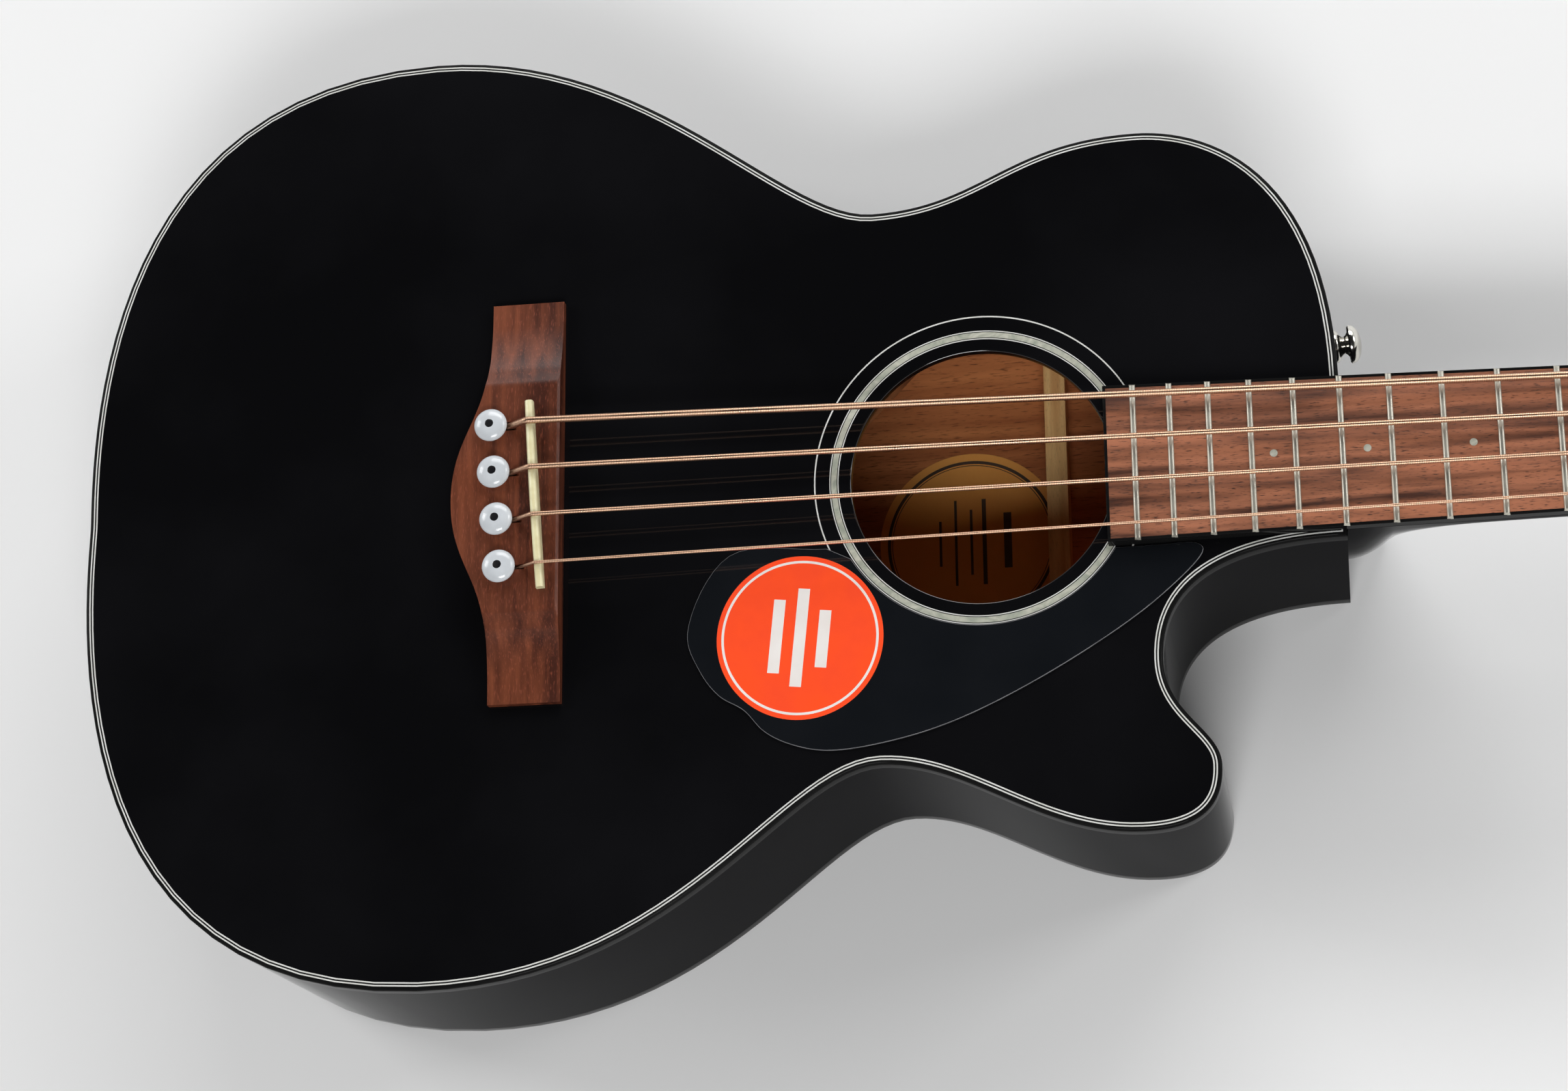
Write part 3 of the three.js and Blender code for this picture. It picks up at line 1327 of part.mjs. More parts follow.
// Where the string meets its post and how far it goes round; mirrored to the bass side
function windingAngles(index) {
  const { x, y } = postPlaces()[index];
  const side = Math.sign(y);
  const radius = stringDiameters[index] / 2;
  const around = postWaistRadius + windingGap + radius;
  const toHead = headPlace.clone().invert();
  const behindNut = stringAtNut(index).add(new THREE.Vector3(nutThickness, 0, 0));
  const leaves = toSide(behindNut.applyMatrix4(toHead), side);
  const reach = point(x - leaves.x, y * side - leaves.y);
  const heading = reach.angle() - Math.asin(around / reach.length());
  const start = heading - Math.PI / 2;
  const wound = 2 * Math.PI * windingTurnCounts[index];
  const turnIn = Math.acos(-tailBendShare / (1 - tailBendShare));
  return { around, start, wound, turnIn, leaves, slot: start + wound + turnIn - Math.PI / 2 };
}

// The windings and the tail in the post's bore, in the head frame
function postRun(index) {
  const { x, y } = postPlaces()[index];
  const side = Math.sign(y);
  const radius = stringDiameters[index] / 2;
  const { around, start, wound, turnIn } = windingAngles(index);
  const pitch = 2 * radius + windingGap;
  const climb = (angle) => pitch * angle / (2 * Math.PI);
  const tailHeight = slotFloor + slotFloorGap + radius;
  const low = tailHeight - climb(wound + turnIn);
  const spots = [];
  const loopSteps = Math.round(wound * windingStepsPerTurnCount / (2 * Math.PI));
  for (let step = 0; step <= loopSteps; step += 1) {
    const angle = wound * step / loopSteps;
    spots.push(new THREE.Vector3(
      around * Math.cos(start + angle), around * Math.sin(start + angle), low + climb(angle)));
  }
  const bend = tailBendShare * around;
  for (let step = 1; step <= tailStepCount; step += 1) {
    const angle = turnIn * step / tailStepCount;
    const from = start + wound;
    spots.push(new THREE.Vector3(
      (around - bend) * Math.cos(from) + bend * Math.cos(from + angle),
      (around - bend) * Math.sin(from) + bend * Math.sin(from + angle),
      low + climb(wound + angle)));
  }
  const slotAngle = start + wound + turnIn - Math.PI / 2;
  const inward = point(Math.cos(slotAngle), Math.sin(slotAngle));
  for (let step = 0; step <= tailStepCount / 2; step += 1) {
    const angle = Math.PI * step / tailStepCount;
    const out = bend * (1 - Math.sin(angle));
    spots.push(new THREE.Vector3(inward.x * out, inward.y * out, tailHeight - bend * (1 - Math.cos(angle))));
  }
  spots.push(new THREE.Vector3(0, 0, tailHeight - bend - tailDrop));
  return spots.map((spot) => toSide(spot, side).add(new THREE.Vector3(x, y, 0)));
}

function stringPath(index) {
  const fromBridge = bridgeRun(index);
  const nutFront = stringAtNut(index).applyMatrix4(neckPlace);
  const nutBack = stringAtNut(index).add(new THREE.Vector3(nutThickness / 2, 0, 0)).applyMatrix4(neckPlace);
  const wound = postRun(index).map((spot) => spot.applyMatrix4(headPlace).applyMatrix4(neckPlace));
  const saddleEnd = fromBridge[fromBridge.length - 1];
  const before = nutFront.clone().sub(saddleEnd).normalize().multiplyScalar(-nutThickness).add(nutFront);
  const after = wound[0].clone().sub(nutBack).normalize().multiplyScalar(2 * nutThickness).add(nutBack);
  return {
    points: [...fromBridge, nutFront, nutBack, ...wound],
    nearNut: [before, nutFront, nutBack, after],
  };
}

// The least distance between two turns of one string, surface to surface
function leastGap(points, diameter) {
  let least = Infinity;
  for (let first = 0; first < points.length; first += 1) {
    let along = 0;
    for (let second = first + 1; second < points.length; second += 1) {
      along += points[second].distanceTo(points[second - 1]);
      if (along > Math.PI * diameter) {
        least = Math.min(least, points[first].distanceTo(points[second]) - diameter);
      }
    }
  }
  return least;
}

function addStrings() {
  stringNames.forEach((name, index) => {
    const { points } = stringPath(index);
    const diameter = stringDiameters[index];
    const ball = points[0];
    const barrel = alongY(ballRadius, -ballLength / 2, ballLength / 2, holeSideCount)
      .translate([ball.x, ball.y, ball.z]);
    addPiece(instrument, `string_${name}`, bar(points, diameter / 2, stringSideCount).add(barrel), 'bronze');
    console.log(`string_${name}: least gap to itself ${leastGap(points, diameter).toFixed(2)} mm`);
  });
}

// Strap buttons: one on the bass shoulder and one at the tail
function button() {
  return turned([
    [0, -buttonScrewLength], [buttonScrewRadius, -buttonScrewLength], [buttonScrewRadius, jointGap],
    [buttonBaseRadius, jointGap], [buttonBaseRadius, jointGap + buttonBaseThickness],
    [buttonWaistRadius, 2 * buttonBaseThickness + jointGap],
    [buttonWaistRadius, buttonRimStart - buttonBaseThickness],
    [buttonRimRadius, buttonRimStart], [buttonRimRadius, buttonRimEnd],
    [buttonFlatRadius, buttonHeight], [0, buttonHeight],
  ], buttonSideCount);
}

function buttonPlace(spot, angle, height) {
  const sideways = new THREE.Matrix4().makeRotationZ(angle)
    .multiply(new THREE.Matrix4().makeRotationY(Math.PI / 2));
  return sideways.premultiply(new THREE.Matrix4().makeTranslation(spot.x, spot.y, height));
}

function strapButtonPlace() {
  const start = point(neckJointX, jointBassHalf);
  const end = point(upperBoutX, upperBoutHalf);
  const [startShare, endShare] = outlineShares.shoulder;
  const shoulder = new THREE.CubicBezierCurve(
    start, point(start.x, start.y + (end.y - start.y) * startShare),
    point(end.x - (end.x - start.x) * endShare, end.y), end);
  const tangent = shoulder.getTangent(strapButtonShare);
  return buttonPlace(shoulder.getPoint(strapButtonShare), tangent.angle() - Math.PI / 2, -strapButtonDrop);
}

function endButtonPlace() {
  return buttonPlace(point(tailX, 0), Math.PI, -endButtonDrop);
}

function screwHole(place) {
  const low = -buttonScrewLength - jointGap;
  return moved(cylinder(buttonScrewRadius + jointGap, low, overrun, holeSideCount), place);
}

function strapButtonHole() {
  return screwHole(strapButtonPlace());
}

function endButtonHole() {
  return screwHole(endButtonPlace());
}

addBody();
addBraces();
addBridge();
addPickguard();
addFingerboard();
addNut();
addNeck();
addTrussRod();
addTuners();
addStrings();
addPiece(instrument, 'strap_button', moved(button(), strapButtonPlace()), 'nickel');
addPiece(instrument, 'end_button', moved(button(), endButtonPlace()), 'nickel');

export default guitar;
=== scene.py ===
"""Looks of a black cutaway acoustic bass guitar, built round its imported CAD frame.

Lengths in the classes are millimetres in the instrument's own frame: x from the saddle line towards
the headstock, y from the centreline towards the bass side, z from the face of the soundboard. Every
mesh is carried into the row frame, in metres, when it is made.
"""

import logging
import math
from dataclasses import dataclass, field
from enum import Enum
from typing import Callable, Iterable, Sequence

import bmesh
import bpy
from mathutils import Matrix, Vector
from mathutils.geometry import tessellate_polygon


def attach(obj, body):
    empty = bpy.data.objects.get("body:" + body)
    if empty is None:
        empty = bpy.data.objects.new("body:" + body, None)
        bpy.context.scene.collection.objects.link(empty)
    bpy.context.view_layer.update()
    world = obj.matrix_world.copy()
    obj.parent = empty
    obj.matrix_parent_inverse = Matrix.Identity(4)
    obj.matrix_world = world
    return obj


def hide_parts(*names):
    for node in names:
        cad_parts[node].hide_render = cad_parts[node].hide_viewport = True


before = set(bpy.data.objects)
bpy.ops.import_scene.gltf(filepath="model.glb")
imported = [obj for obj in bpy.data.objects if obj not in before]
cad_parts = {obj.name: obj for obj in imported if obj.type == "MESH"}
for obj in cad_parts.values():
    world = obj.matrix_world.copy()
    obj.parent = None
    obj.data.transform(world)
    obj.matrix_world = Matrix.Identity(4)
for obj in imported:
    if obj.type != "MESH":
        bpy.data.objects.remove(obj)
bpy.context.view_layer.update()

LOG = logging.getLogger("acoustic_bass")
METRES_PER_MM = 0.001
ROOT = "body"
STRING_NAMES = ("e", "a", "d", "g")
RING_SIDES = 160
CORNER_STEPS = 6
TINY = 1e-4
COAT_ROUGHNESS = 0.04
BEVEL_SEGMENTS = 3
BEVEL_FROM_DEG = 40

Point = tuple[float, float]
Loop = list[Point]
MeshData = tuple[list[Vector], list[list[int]]]
Triple = tuple[float, float, float]
Colour = Triple
Finish = bpy.types.Material
Socket = bpy.types.NodeSocket


class Grain(Enum):
    """How far the pores and streaks of a wood stand out."""

    FINE = 0.35
    FLECKED = 0.5
    OPEN = 1.0


class Axis(Enum):
    """Row axes that a grain or a stripe can run along."""

    X = 0
    Y = 1

    def run(self, scale: float) -> list[float]:
        """Texture scale along each row axis, changed along this one only."""
        scales = [1.0, 1.0, 1.0]
        scales[self.value] = scale
        return scales


@dataclass(frozen=True)
class Scale:
    """The instrument's scale and the tilts that tie its frames together."""

    length: float = 770.0
    fret_count: int = 22
    joint_fret: int = 17
    frets_per_octave: int = 12
    ridge_depth: float = 100.0
    depth_fall: float = 0.036
    board_end_x: float = 205.5
    board_end_height: float = 6.6
    board_end_half: float = 28.9
    board_nut_half: float = 20.3
    neck_fall_deg: float = 0.83
    head_fall_deg: float = 10.0
    nut_thickness: float = 5.0
    gap: float = 0.3
    camber_radius: float = 400.0
    fret_height: float = 0.9
    soundhole_x: float = 161.1

    def fret_x(self, number: int) -> float:
        """Station of a fret along the instrument."""
        return self.length * 2 ** (-number / self.frets_per_octave)

    @property
    def joint_x(self) -> float:
        """Station where the neck meets the body."""
        return self.fret_x(self.joint_fret)

    @property
    def board_thickness(self) -> float:
        """Thickness of the fingerboard beyond the body."""
        fall = (self.joint_x - self.board_end_x) * math.tan(math.radians(self.neck_fall_deg))
        return self.board_end_height - self.gap - fall

    @property
    def neck_top(self) -> float:
        """Height of the neck's gluing face in the neck frame."""
        return -self.board_thickness - self.gap

    def instrument(self) -> Matrix:
        """Matrix from the instrument frame, in millimetres, to the row frame, in metres.

        Returns:
            The matrix that lays the guitar on the flat ridge of its back.
        """
        angle = math.atan(self.depth_fall)
        shift = Vector((self.ridge_depth * math.sin(angle), 0, self.ridge_depth * math.cos(angle)))
        scale = Matrix.Scale(METRES_PER_MM, 4)
        return scale @ Matrix.Translation(shift) @ Matrix.Rotation(angle, 4, "Y")

    def neck(self) -> Matrix:
        """Matrix from the neck frame to the instrument frame."""
        turn = Matrix.Rotation(math.radians(self.neck_fall_deg), 4, "Y")
        out = Matrix.Translation((self.board_end_x, 0, self.board_end_height))
        return out @ turn @ Matrix.Translation((-self.board_end_x, 0, 0))

    def head(self) -> Matrix:
        """Matrix from the headstock frame to the neck frame."""
        start = (self.length + self.nut_thickness + self.gap, 0, self.neck_top)
        return Matrix.Translation(start) @ Matrix.Rotation(math.radians(self.head_fall_deg), 4, "Y")

    def board_half(self, x: float) -> float:
        """Half width of the fingerboard at a station."""
        share = (x - self.board_end_x) / (self.length - self.board_end_x)
        return self.board_end_half + (self.board_nut_half - self.board_end_half) * share

    def camber(self, y: float) -> float:
        """Fall of the fingerboard's face away from its ridge."""
        return -y * y / (2 * self.camber_radius)


SCALE = Scale()
INSTRUMENT = SCALE.instrument()
NECK = INSTRUMENT @ SCALE.neck()
HEAD = NECK @ SCALE.head()


def bezier(p0: Point, p1: Point, p2: Point, p3: Point, count: int) -> Loop:
    """Points of a cubic curve without its last one.

    Args:
        p0: Start point.
        p1: First handle.
        p2: Second handle.
        p3: End point.
        count: Number of steps.

    Returns:
        The points, from the start to one step before the end.
    """
    points = []
    for step in range(count):
        t = step / count
        s = 1 - t
        weights = (s**3, 3 * s * s * t, 3 * s * t * t, t**3)
        points.append(tuple(sum(w * p[k] for w, p in zip(weights, (p0, p1, p2, p3))) for k in range(2)))
    return points


def stretch(start: Point, start_axis: str, end: Point, end_axis: str, shares: Point, count: int) -> Loop:
    """One stretch of outline whose ends keep their heading along x or y.

    Args:
        start: Start point.
        start_axis: Heading at the start, "x" or "y".
        end: End point.
        end_axis: Heading at the end, "x" or "y".
        shares: How far each handle reaches, as a share of the run.
        count: Number of steps.

    Returns:
        The points, from the start to one step before the end.
    """
    run = (end[0] - start[0], end[1] - start[1])
    headings = {"x": (run[0], 0), "y": (0, run[1])}
    first, last = headings[start_axis], headings[end_axis]
    handle_1 = (start[0] + first[0] * shares[0], start[1] + first[1] * shares[0])
    handle_2 = (end[0] - last[0] * shares[1], end[1] - last[1] * shares[1])
    return bezier(start, handle_1, handle_2, end, count)


def inset(loop: Loop, distance: float) -> Loop:
    """Moves a counter-clockwise loop inward.

    Args:
        loop: Points of the loop.
        distance: How far inward, or outward if negative.

    Returns:
        A loop of as many points.
    """
    moved = []
    for index, here in enumerate(loop):
        before, after = Vector(loop[index - 1]), Vector(loop[(index + 1) % len(loop)])
        into = (Vector(here) - before).normalized()
        out = (after - Vector(here)).normalized()
        bisector = Vector((-into.y - out.y, into.x + out.x)).normalized()
        lean = bisector.dot(Vector((-into.y, into.x)))
        spot = Vector(here) + bisector * (distance / lean)
        moved.append((spot.x, spot.y))
    return moved


def circle(x: float, y: float, radius: float, count: int) -> Loop:
    """Points of a circle.

    Args:
        x: Station of its centre.
        y: Distance of its centre from the centreline.
        radius: Its radius.
        count: Number of points.

    Returns:
        The points, counter-clockwise.
    """
    angles = [2 * math.pi * step / count for step in range(count)]
    return [(x + radius * math.cos(a), y + radius * math.sin(a)) for a in angles]


def rectangle(x0: float, y0: float, x1: float, y1: float) -> Loop:
    """Corners of a rectangle from its lowest to its highest corner, counter-clockwise."""
    return [(x0, y0), (x1, y0), (x1, y1), (x0, y1)]


def quarter(steps: int) -> list[Point]:
    """Cosine and sine of even angles from 0 to 90 degrees."""
    angles = [math.pi / 2 * step / steps for step in range(steps + 1)]
    return [(math.cos(angle), math.sin(angle)) for angle in angles]


def hermite(t: float) -> tuple[float, float, float, float]:
    """Weights of the start, its slope, the end and its slope at a place from 0 to 1."""
    return 2 * t**3 - 3 * t * t + 1, t**3 - 2 * t * t + t, 3 * t * t - 2 * t**3, t**3 - t * t


def share_at(table: Sequence[float], place: float) -> float:
    """Smooth value between the entries of a table.

    Args:
        table: Values at even places from 0 to 1.
        place: Where to read, from 0 to 1.

    Returns:
        The value of a curve through the entries.
    """
    spot = min(max(place, 0), 1) * (len(table) - 1)
    low = min(int(spot), len(table) - 2)
    t = spot - low
    p0, p1, p2, p3 = (table[min(max(low + k, 0), len(table) - 1)] for k in (-1, 0, 1, 2))
    weights = hermite(t)
    return weights[0] * p1 + weights[1] * ((p2 - p0) / 2) + weights[2] * p2 + weights[3] * ((p3 - p1) / 2)


def plate(outer: Loop, holes: Iterable[Loop], low: float, high: float) -> MeshData:
    """A flat plate with holes.

    Args:
        outer: Outline, counter-clockwise.
        holes: Outlines of the holes.
        low: Height of its underside.
        high: Height of its face.

    Returns:
        Points and faces of the closed mesh.
    """
    loops = [list(outer)] + [list(hole) for hole in holes]
    flat = [Vector((x, y, 0)) for loop in loops for x, y in loop]
    triangles = tessellate_polygon([[Vector((x, y, 0)) for x, y in loop] for loop in loops])
    count = len(flat)
    points = [Vector((v.x, v.y, low)) for v in flat] + [Vector((v.x, v.y, high)) for v in flat]
    faces = []
    for a, b, c in triangles:
        faces.append([a, b, c])
        faces.append([c + count, b + count, a + count])
    start = 0
    for loop in loops:
        for index in range(len(loop)):
            here, there = start + index, start + (index + 1) % len(loop)
            faces.append([here, there, there + count, here + count])
        start += len(loop)
    return points, faces


def washer(centre: Point, radii: Point, low: float, high: float, count: int) -> MeshData:
    """A flat ring.

    Args:
        centre: Its centre.
        radii: Outer and inner radius.
        low: Height of its underside.
        high: Height of its face.
        count: Number of facets round.

    Returns:
        Points and faces of the closed mesh.
    """
    outer, inner = (circle(*centre, radius, count) for radius in radii)
    return plate(outer, [inner[::-1]], low, high)


def skin_faces(rows: int, count: int) -> list[list[int]]:
    """Faces between closed rows of points, each joined to the next and the last to the first."""
    faces = []
    for row in range(rows):
        low, high = row * count, (row + 1) % rows * count
        for index in range(count):
            after = (index + 1) % count
            faces.append([low + index, low + after, high + after, high + index])
    return faces


def band(outline: Loop, profile: Sequence[Point], height: Callable[[float, float, float], float]) -> MeshData:
    """A closed strip that runs round an outline.

    Args:
        outline: The outline, counter-clockwise.
        profile: Cross-section as (inset, level) points.
        height: Gives the height for x, y and the level.

    Returns:
        Points and faces of the closed mesh.
    """
    points: list[Vector] = []
    for depth, level in profile:
        points += [Vector((x, y, height(x, y, level))) for x, y in inset(outline, depth)]
    return points, skin_faces(len(profile), len(outline))


def flat_height(_x: float, _y: float, level: float) -> float:
    """Height of a strip that follows the soundboard, the same at every place."""
    return level


def loft(rings: Sequence[Sequence[Vector]], closed: bool = False) -> MeshData:
    """Rings of equal count joined into one skin.

    Args:
        rings: The rings, in order.
        closed: Whether the last ring joins the first, so that no caps are needed.

    Returns:
        Points and faces of the closed mesh.
    """
    count = len(rings[0])
    points = [Vector(v) for ring in rings for v in ring]
    faces = skin_faces(len(rings), count)
    if not closed:
        top = (len(rings) - 1) * count
        faces[top:] = [list(range(count))[::-1], [top + index for index in range(count)]]
    return points, faces


def lathe(profile: Sequence[Point], count: int) -> MeshData:
    """A profile of (radius, height) points turned about z.

    Args:
        profile: The profile, which starts and ends on the axis or joins itself.
        count: Number of facets round.

    Returns:
        Points and faces of the closed mesh.
    """
    rings = []
    for radius, height in profile:
        around = circle(0, 0, max(radius, TINY), count)
        rings.append([Vector((x, y, height)) for x, y in around])
    ring_shaped = profile[0] == profile[-1]
    return loft(rings[:-1], closed=True) if ring_shaped else loft(rings)


def tube(path: Sequence[Vector], radius: float, sides: int) -> MeshData:
    """A round bar along a path.

    Args:
        path: Points of the centreline.
        radius: Radius of the bar.
        sides: Number of facets round.

    Returns:
        Points and faces of the closed mesh.
    """
    rings = []
    across = (path[1] - path[0]).orthogonal().normalized()
    for index, here in enumerate(path):
        before, after = path[max(index - 1, 0)], path[min(index + 1, len(path) - 1)]
        along = (after - before).normalized()
        across = (across - along * across.dot(along)).normalized()
        other = along.cross(across)
        rings.append([here + (across * x + other * y) for x, y in circle(0, 0, radius, sides)])
    return loft(rings)


def moved(data: MeshData, place: Matrix) -> MeshData:
    """Mesh data carried by a matrix."""
    return [place @ v for v in data[0]], data[1]


def joined(*several: MeshData) -> MeshData:
    """Several closed meshes in one."""
    points: list[Vector] = []
    faces: list[list[int]] = []
    for some_points, some_faces in several:
        start = len(points)
        points += some_points
        faces += [[index + start for index in face] for face in some_faces]
    return points, faces


def outward_mesh(name: str, data: MeshData) -> bpy.types.Mesh:
    """A Blender mesh whose faces all look outward, of points in metres."""
    points, faces = data
    mesh = bpy.data.meshes.new(name)
    mesh.from_pydata(points, [], faces)
    form = bmesh.new()
    form.from_mesh(mesh)
    bmesh.ops.recalc_face_normals(form, faces=form.faces)
    form.to_mesh(mesh)
    form.free()
    return mesh


def in_scene(name: str, data: bpy.types.ID) -> bpy.types.Object:
    """A new object in the scene."""
    made = bpy.data.objects.new(name, data)
    bpy.context.scene.collection.objects.link(made)
    return made


def set_stops(ramp: bpy.types.ColorRamp, stops: Sequence[tuple[float, Colour]]) -> None:
    """Gives a colour ramp its places and then their colours."""
    while len(ramp.elements) < len(stops):
        ramp.elements.new(0.5)
    for element, (spot, _) in zip(ramp.elements, stops):
        element.position = spot
    for element, (_, colour) in zip(ramp.elements, stops):
        element.color = (*colour, 1)


class Recipe:
    """Nodes of one finish, built round its Principled shader in the place of the row frame."""

    def __init__(self, name: str, roughness: float, metallic: float = 0.0, coat: float = 0.0) -> None:
        """Starts the material.

        Args:
            name: Name of the material.
            roughness: Roughness of its surface.
            metallic: 1 for bare or plated metal.
            coat: Weight of a clear coat.
        """
        self.material = bpy.data.materials.new(name)
        self.material.use_nodes = True
        self.nodes = self.material.node_tree.nodes
        self.links = self.material.node_tree.links
        self.shader = self.nodes["Principled BSDF"]
        self.shader.inputs["Roughness"].default_value = roughness
        self.shader.inputs["Metallic"].default_value = metallic
        self.shader.inputs["Coat Weight"].default_value = coat
        self.shader.inputs["Coat Roughness"].default_value = COAT_ROUGHNESS
        self.place = self.nodes.new("ShaderNodeTexCoord").outputs["Object"]

    def stretched(self, run: Sequence[float]) -> Socket:
        """Texture place scaled along each row axis."""
        mapping = self.nodes.new("ShaderNodeMapping")
        mapping.inputs["Scale"].default_value = run
        self.links.new(self.place, mapping.inputs["Vector"])
        return mapping.outputs["Vector"]

    def noise(
        self, scale: float, run: Sequence[float] = (1, 1, 1), detail: float = 3, warp: float = 0
    ) -> Socket:
        """Soft noise.

        Args:
            scale: Features a metre.
            run: Scale along each row axis.
            detail: Octaves of detail.
            warp: How far the noise is bent by itself.

        Returns:
            The noise from 0 to 1.
        """
        node = self.nodes.new("ShaderNodeTexNoise")
        node.inputs["Scale"].default_value = scale
        node.inputs["Detail"].default_value = detail
        node.inputs["Distortion"].default_value = warp
        self.links.new(self.stretched(run), node.inputs["Vector"])
        return node.outputs[0]

    def cells(self, scale: float, run: Sequence[float] = (1, 1, 1)) -> bpy.types.Node:
        """Cell pattern of a number of cells a metre."""
        node = self.nodes.new("ShaderNodeTexVoronoi")
        node.inputs["Scale"].default_value = scale
        self.links.new(self.stretched(run), node.inputs["Vector"])
        return node

    def within(self, source: Socket, low: float, high: float, out_low: float, out_high: float) -> Socket:
        """Stretch of values carried to another stretch, held at its ends.

        Args:
            source: The value.
            low: Start of its stretch.
            high: End of its stretch.
            out_low: Start of the other stretch.
            out_high: End of the other stretch.

        Returns:
            The carried value.
        """
        node = self.nodes.new("ShaderNodeMapRange")
        for key, value in zip(("From Min", "From Max", "To Min", "To Max"), (low, high, out_low, out_high)):
            node.inputs[key].default_value = value
        self.links.new(source, node.inputs["Value"])
        return node.outputs[0]

    def sum_of(self, first: Socket, second: Socket, share: float) -> Socket:
        """First value with a share of the second added.

        Args:
            first: Value that counts in full.
            second: Value that counts in part.
            share: How much of the second counts.

        Returns:
            The sum.
        """
        node = self.nodes.new("ShaderNodeMath")
        node.operation = "MULTIPLY_ADD"
        node.inputs[1].default_value = share
        self.links.new(second, node.inputs[0])
        self.links.new(first, node.inputs[2])
        return node.outputs[0]

    def combined(self, operation: str, *sources: Socket) -> Socket:
        """Values joined by one operation of arithmetic."""
        node = self.nodes.new("ShaderNodeMath")
        node.operation = operation
        for index, source in enumerate(sources):
            self.links.new(source, node.inputs[index])
        return node.outputs[0]

    def tones(self, source: Socket, stops: Sequence[tuple[float, Colour]]) -> Socket:
        """Colours read along a value.

        Args:
            source: The value.
            stops: Places and their colours.

        Returns:
            The colour.
        """
        node = self.nodes.new("ShaderNodeValToRGB")
        set_stops(node.color_ramp, stops)
        self.links.new(source, node.inputs[0])
        return node.outputs[0]

    def over(self, base: Socket, factor: Socket, colour: Colour) -> Socket:
        """Plain colour laid over another by a factor.

        Args:
            base: The colour underneath.
            factor: How far the plain colour covers it.
            colour: The plain colour.

        Returns:
            The mixed colour.
        """
        node = self.nodes.new("ShaderNodeMix")
        node.data_type = "RGBA"
        self.links.new(factor, node.inputs[0])
        self.links.new(base, node.inputs[6])
        node.inputs[7].default_value = (*colour, 1)
        return node.outputs[2]

    def wear(self, low: float, high: float, scale: float = 25) -> None:
        """Roughness that wanders between two values.

        Args:
            low: Least roughness.
            high: Greatest roughness.
            scale: Features a metre.
        """
        spread = self.within(self.noise(scale, detail=5), 0.3, 0.7, low, high)
        self.links.new(spread, self.shader.inputs["Roughness"])

    def relief(self, height: Socket, depth: float, strength: float = 1.0) -> None:
        """Fine relief of the surface.

        Args:
            height: Value that is high where the surface is.
            depth: Depth in metres.
            strength: How far it bends the light.
        """
        node = self.nodes.new("ShaderNodeBump")
        node.inputs["Strength"].default_value = strength
        node.inputs["Distance"].default_value = depth
        self.links.new(height, node.inputs["Height"])
        self.links.new(node.outputs[0], self.shader.inputs["Normal"])

    def paint(self, colour: Socket) -> Finish:
        """Links the base colour and hands the material back."""
        self.links.new(colour, self.shader.inputs["Base Color"])
        return self.material


@dataclass(frozen=True)
class Lacquer:
    """Polished lacquer with a faint ripple, dust and handling haze."""

    name: str
    colour: Colour = (0.003, 0.003, 0.0035)
    haze: Colour = (0.006, 0.006, 0.007)
    gloss: float = 0.045
    dull: float = 0.085
    ripple: float = 0.00002
    bending: float = 1.3
    scales: Triple = (18, 45, 9)

    def build(self) -> Finish:
        """Makes the material."""
        recipe = Recipe(self.name, self.gloss)
        recipe.shader.inputs["IOR"].default_value = self.bending
        wear_scale, ripple_scale, haze_scale = self.scales
        recipe.wear(self.gloss, self.dull, wear_scale)
        recipe.relief(recipe.noise(ripple_scale, detail=1), self.ripple, 0.5)
        cloud = recipe.noise(haze_scale, detail=6)
        return recipe.paint(recipe.tones(cloud, ((0.4, self.colour), (0.75, self.haze))))


@dataclass(frozen=True)
class Wood:
    """Wood with broad figure, streaks and pores along its grain."""

    name: str
    dark: Colour
    light: Colour
    along: Axis = Axis.X
    streaks: float = 160.0
    grain: Grain = Grain.OPEN
    roughness: float = 0.42
    contrast: float = 0.2
    pore_tone: float = 0.5
    bending: float = 1.5
    figure_run: float = 0.05
    broad_share: float = 0.9
    mixed_span: Point = (0.55, 1.35)
    pore_run: float = 0.13
    pore_fineness: float = 11
    pore_span: Point = (0.56, 0.74)
    pore_depth: float = 0.00006

    def build(self) -> Finish:
        """Makes the material."""
        recipe = Recipe(self.name, self.roughness)
        recipe.shader.inputs["IOR"].default_value = self.bending
        run = self.along.run(self.figure_run)
        figure = recipe.noise(self.streaks, run, 4, 0.3)
        broad = recipe.noise(self.streaks / 6, run, 3, 0.8)
        mixed = recipe.within(recipe.sum_of(figure, broad, self.broad_share), *self.mixed_span, 0, 1)
        middle = tuple((a + b) / 2 for a, b in zip(self.dark, self.light))
        colour = recipe.tones(
            mixed, ((0.5 - self.contrast, self.dark), (0.5, middle), (0.5 + self.contrast, self.light)))
        pits = recipe.noise(self.streaks * self.pore_fineness, self.along.run(self.pore_run), 2)
        pores = recipe.within(pits, *self.pore_span, 0, self.grain.value)
        deep = tuple(c * self.pore_tone for c in self.dark)
        recipe.relief(pores, -self.pore_depth, 0.6)
        recipe.wear(self.roughness - 0.06, self.roughness + 0.08)
        return recipe.paint(recipe.over(colour, pores, deep))


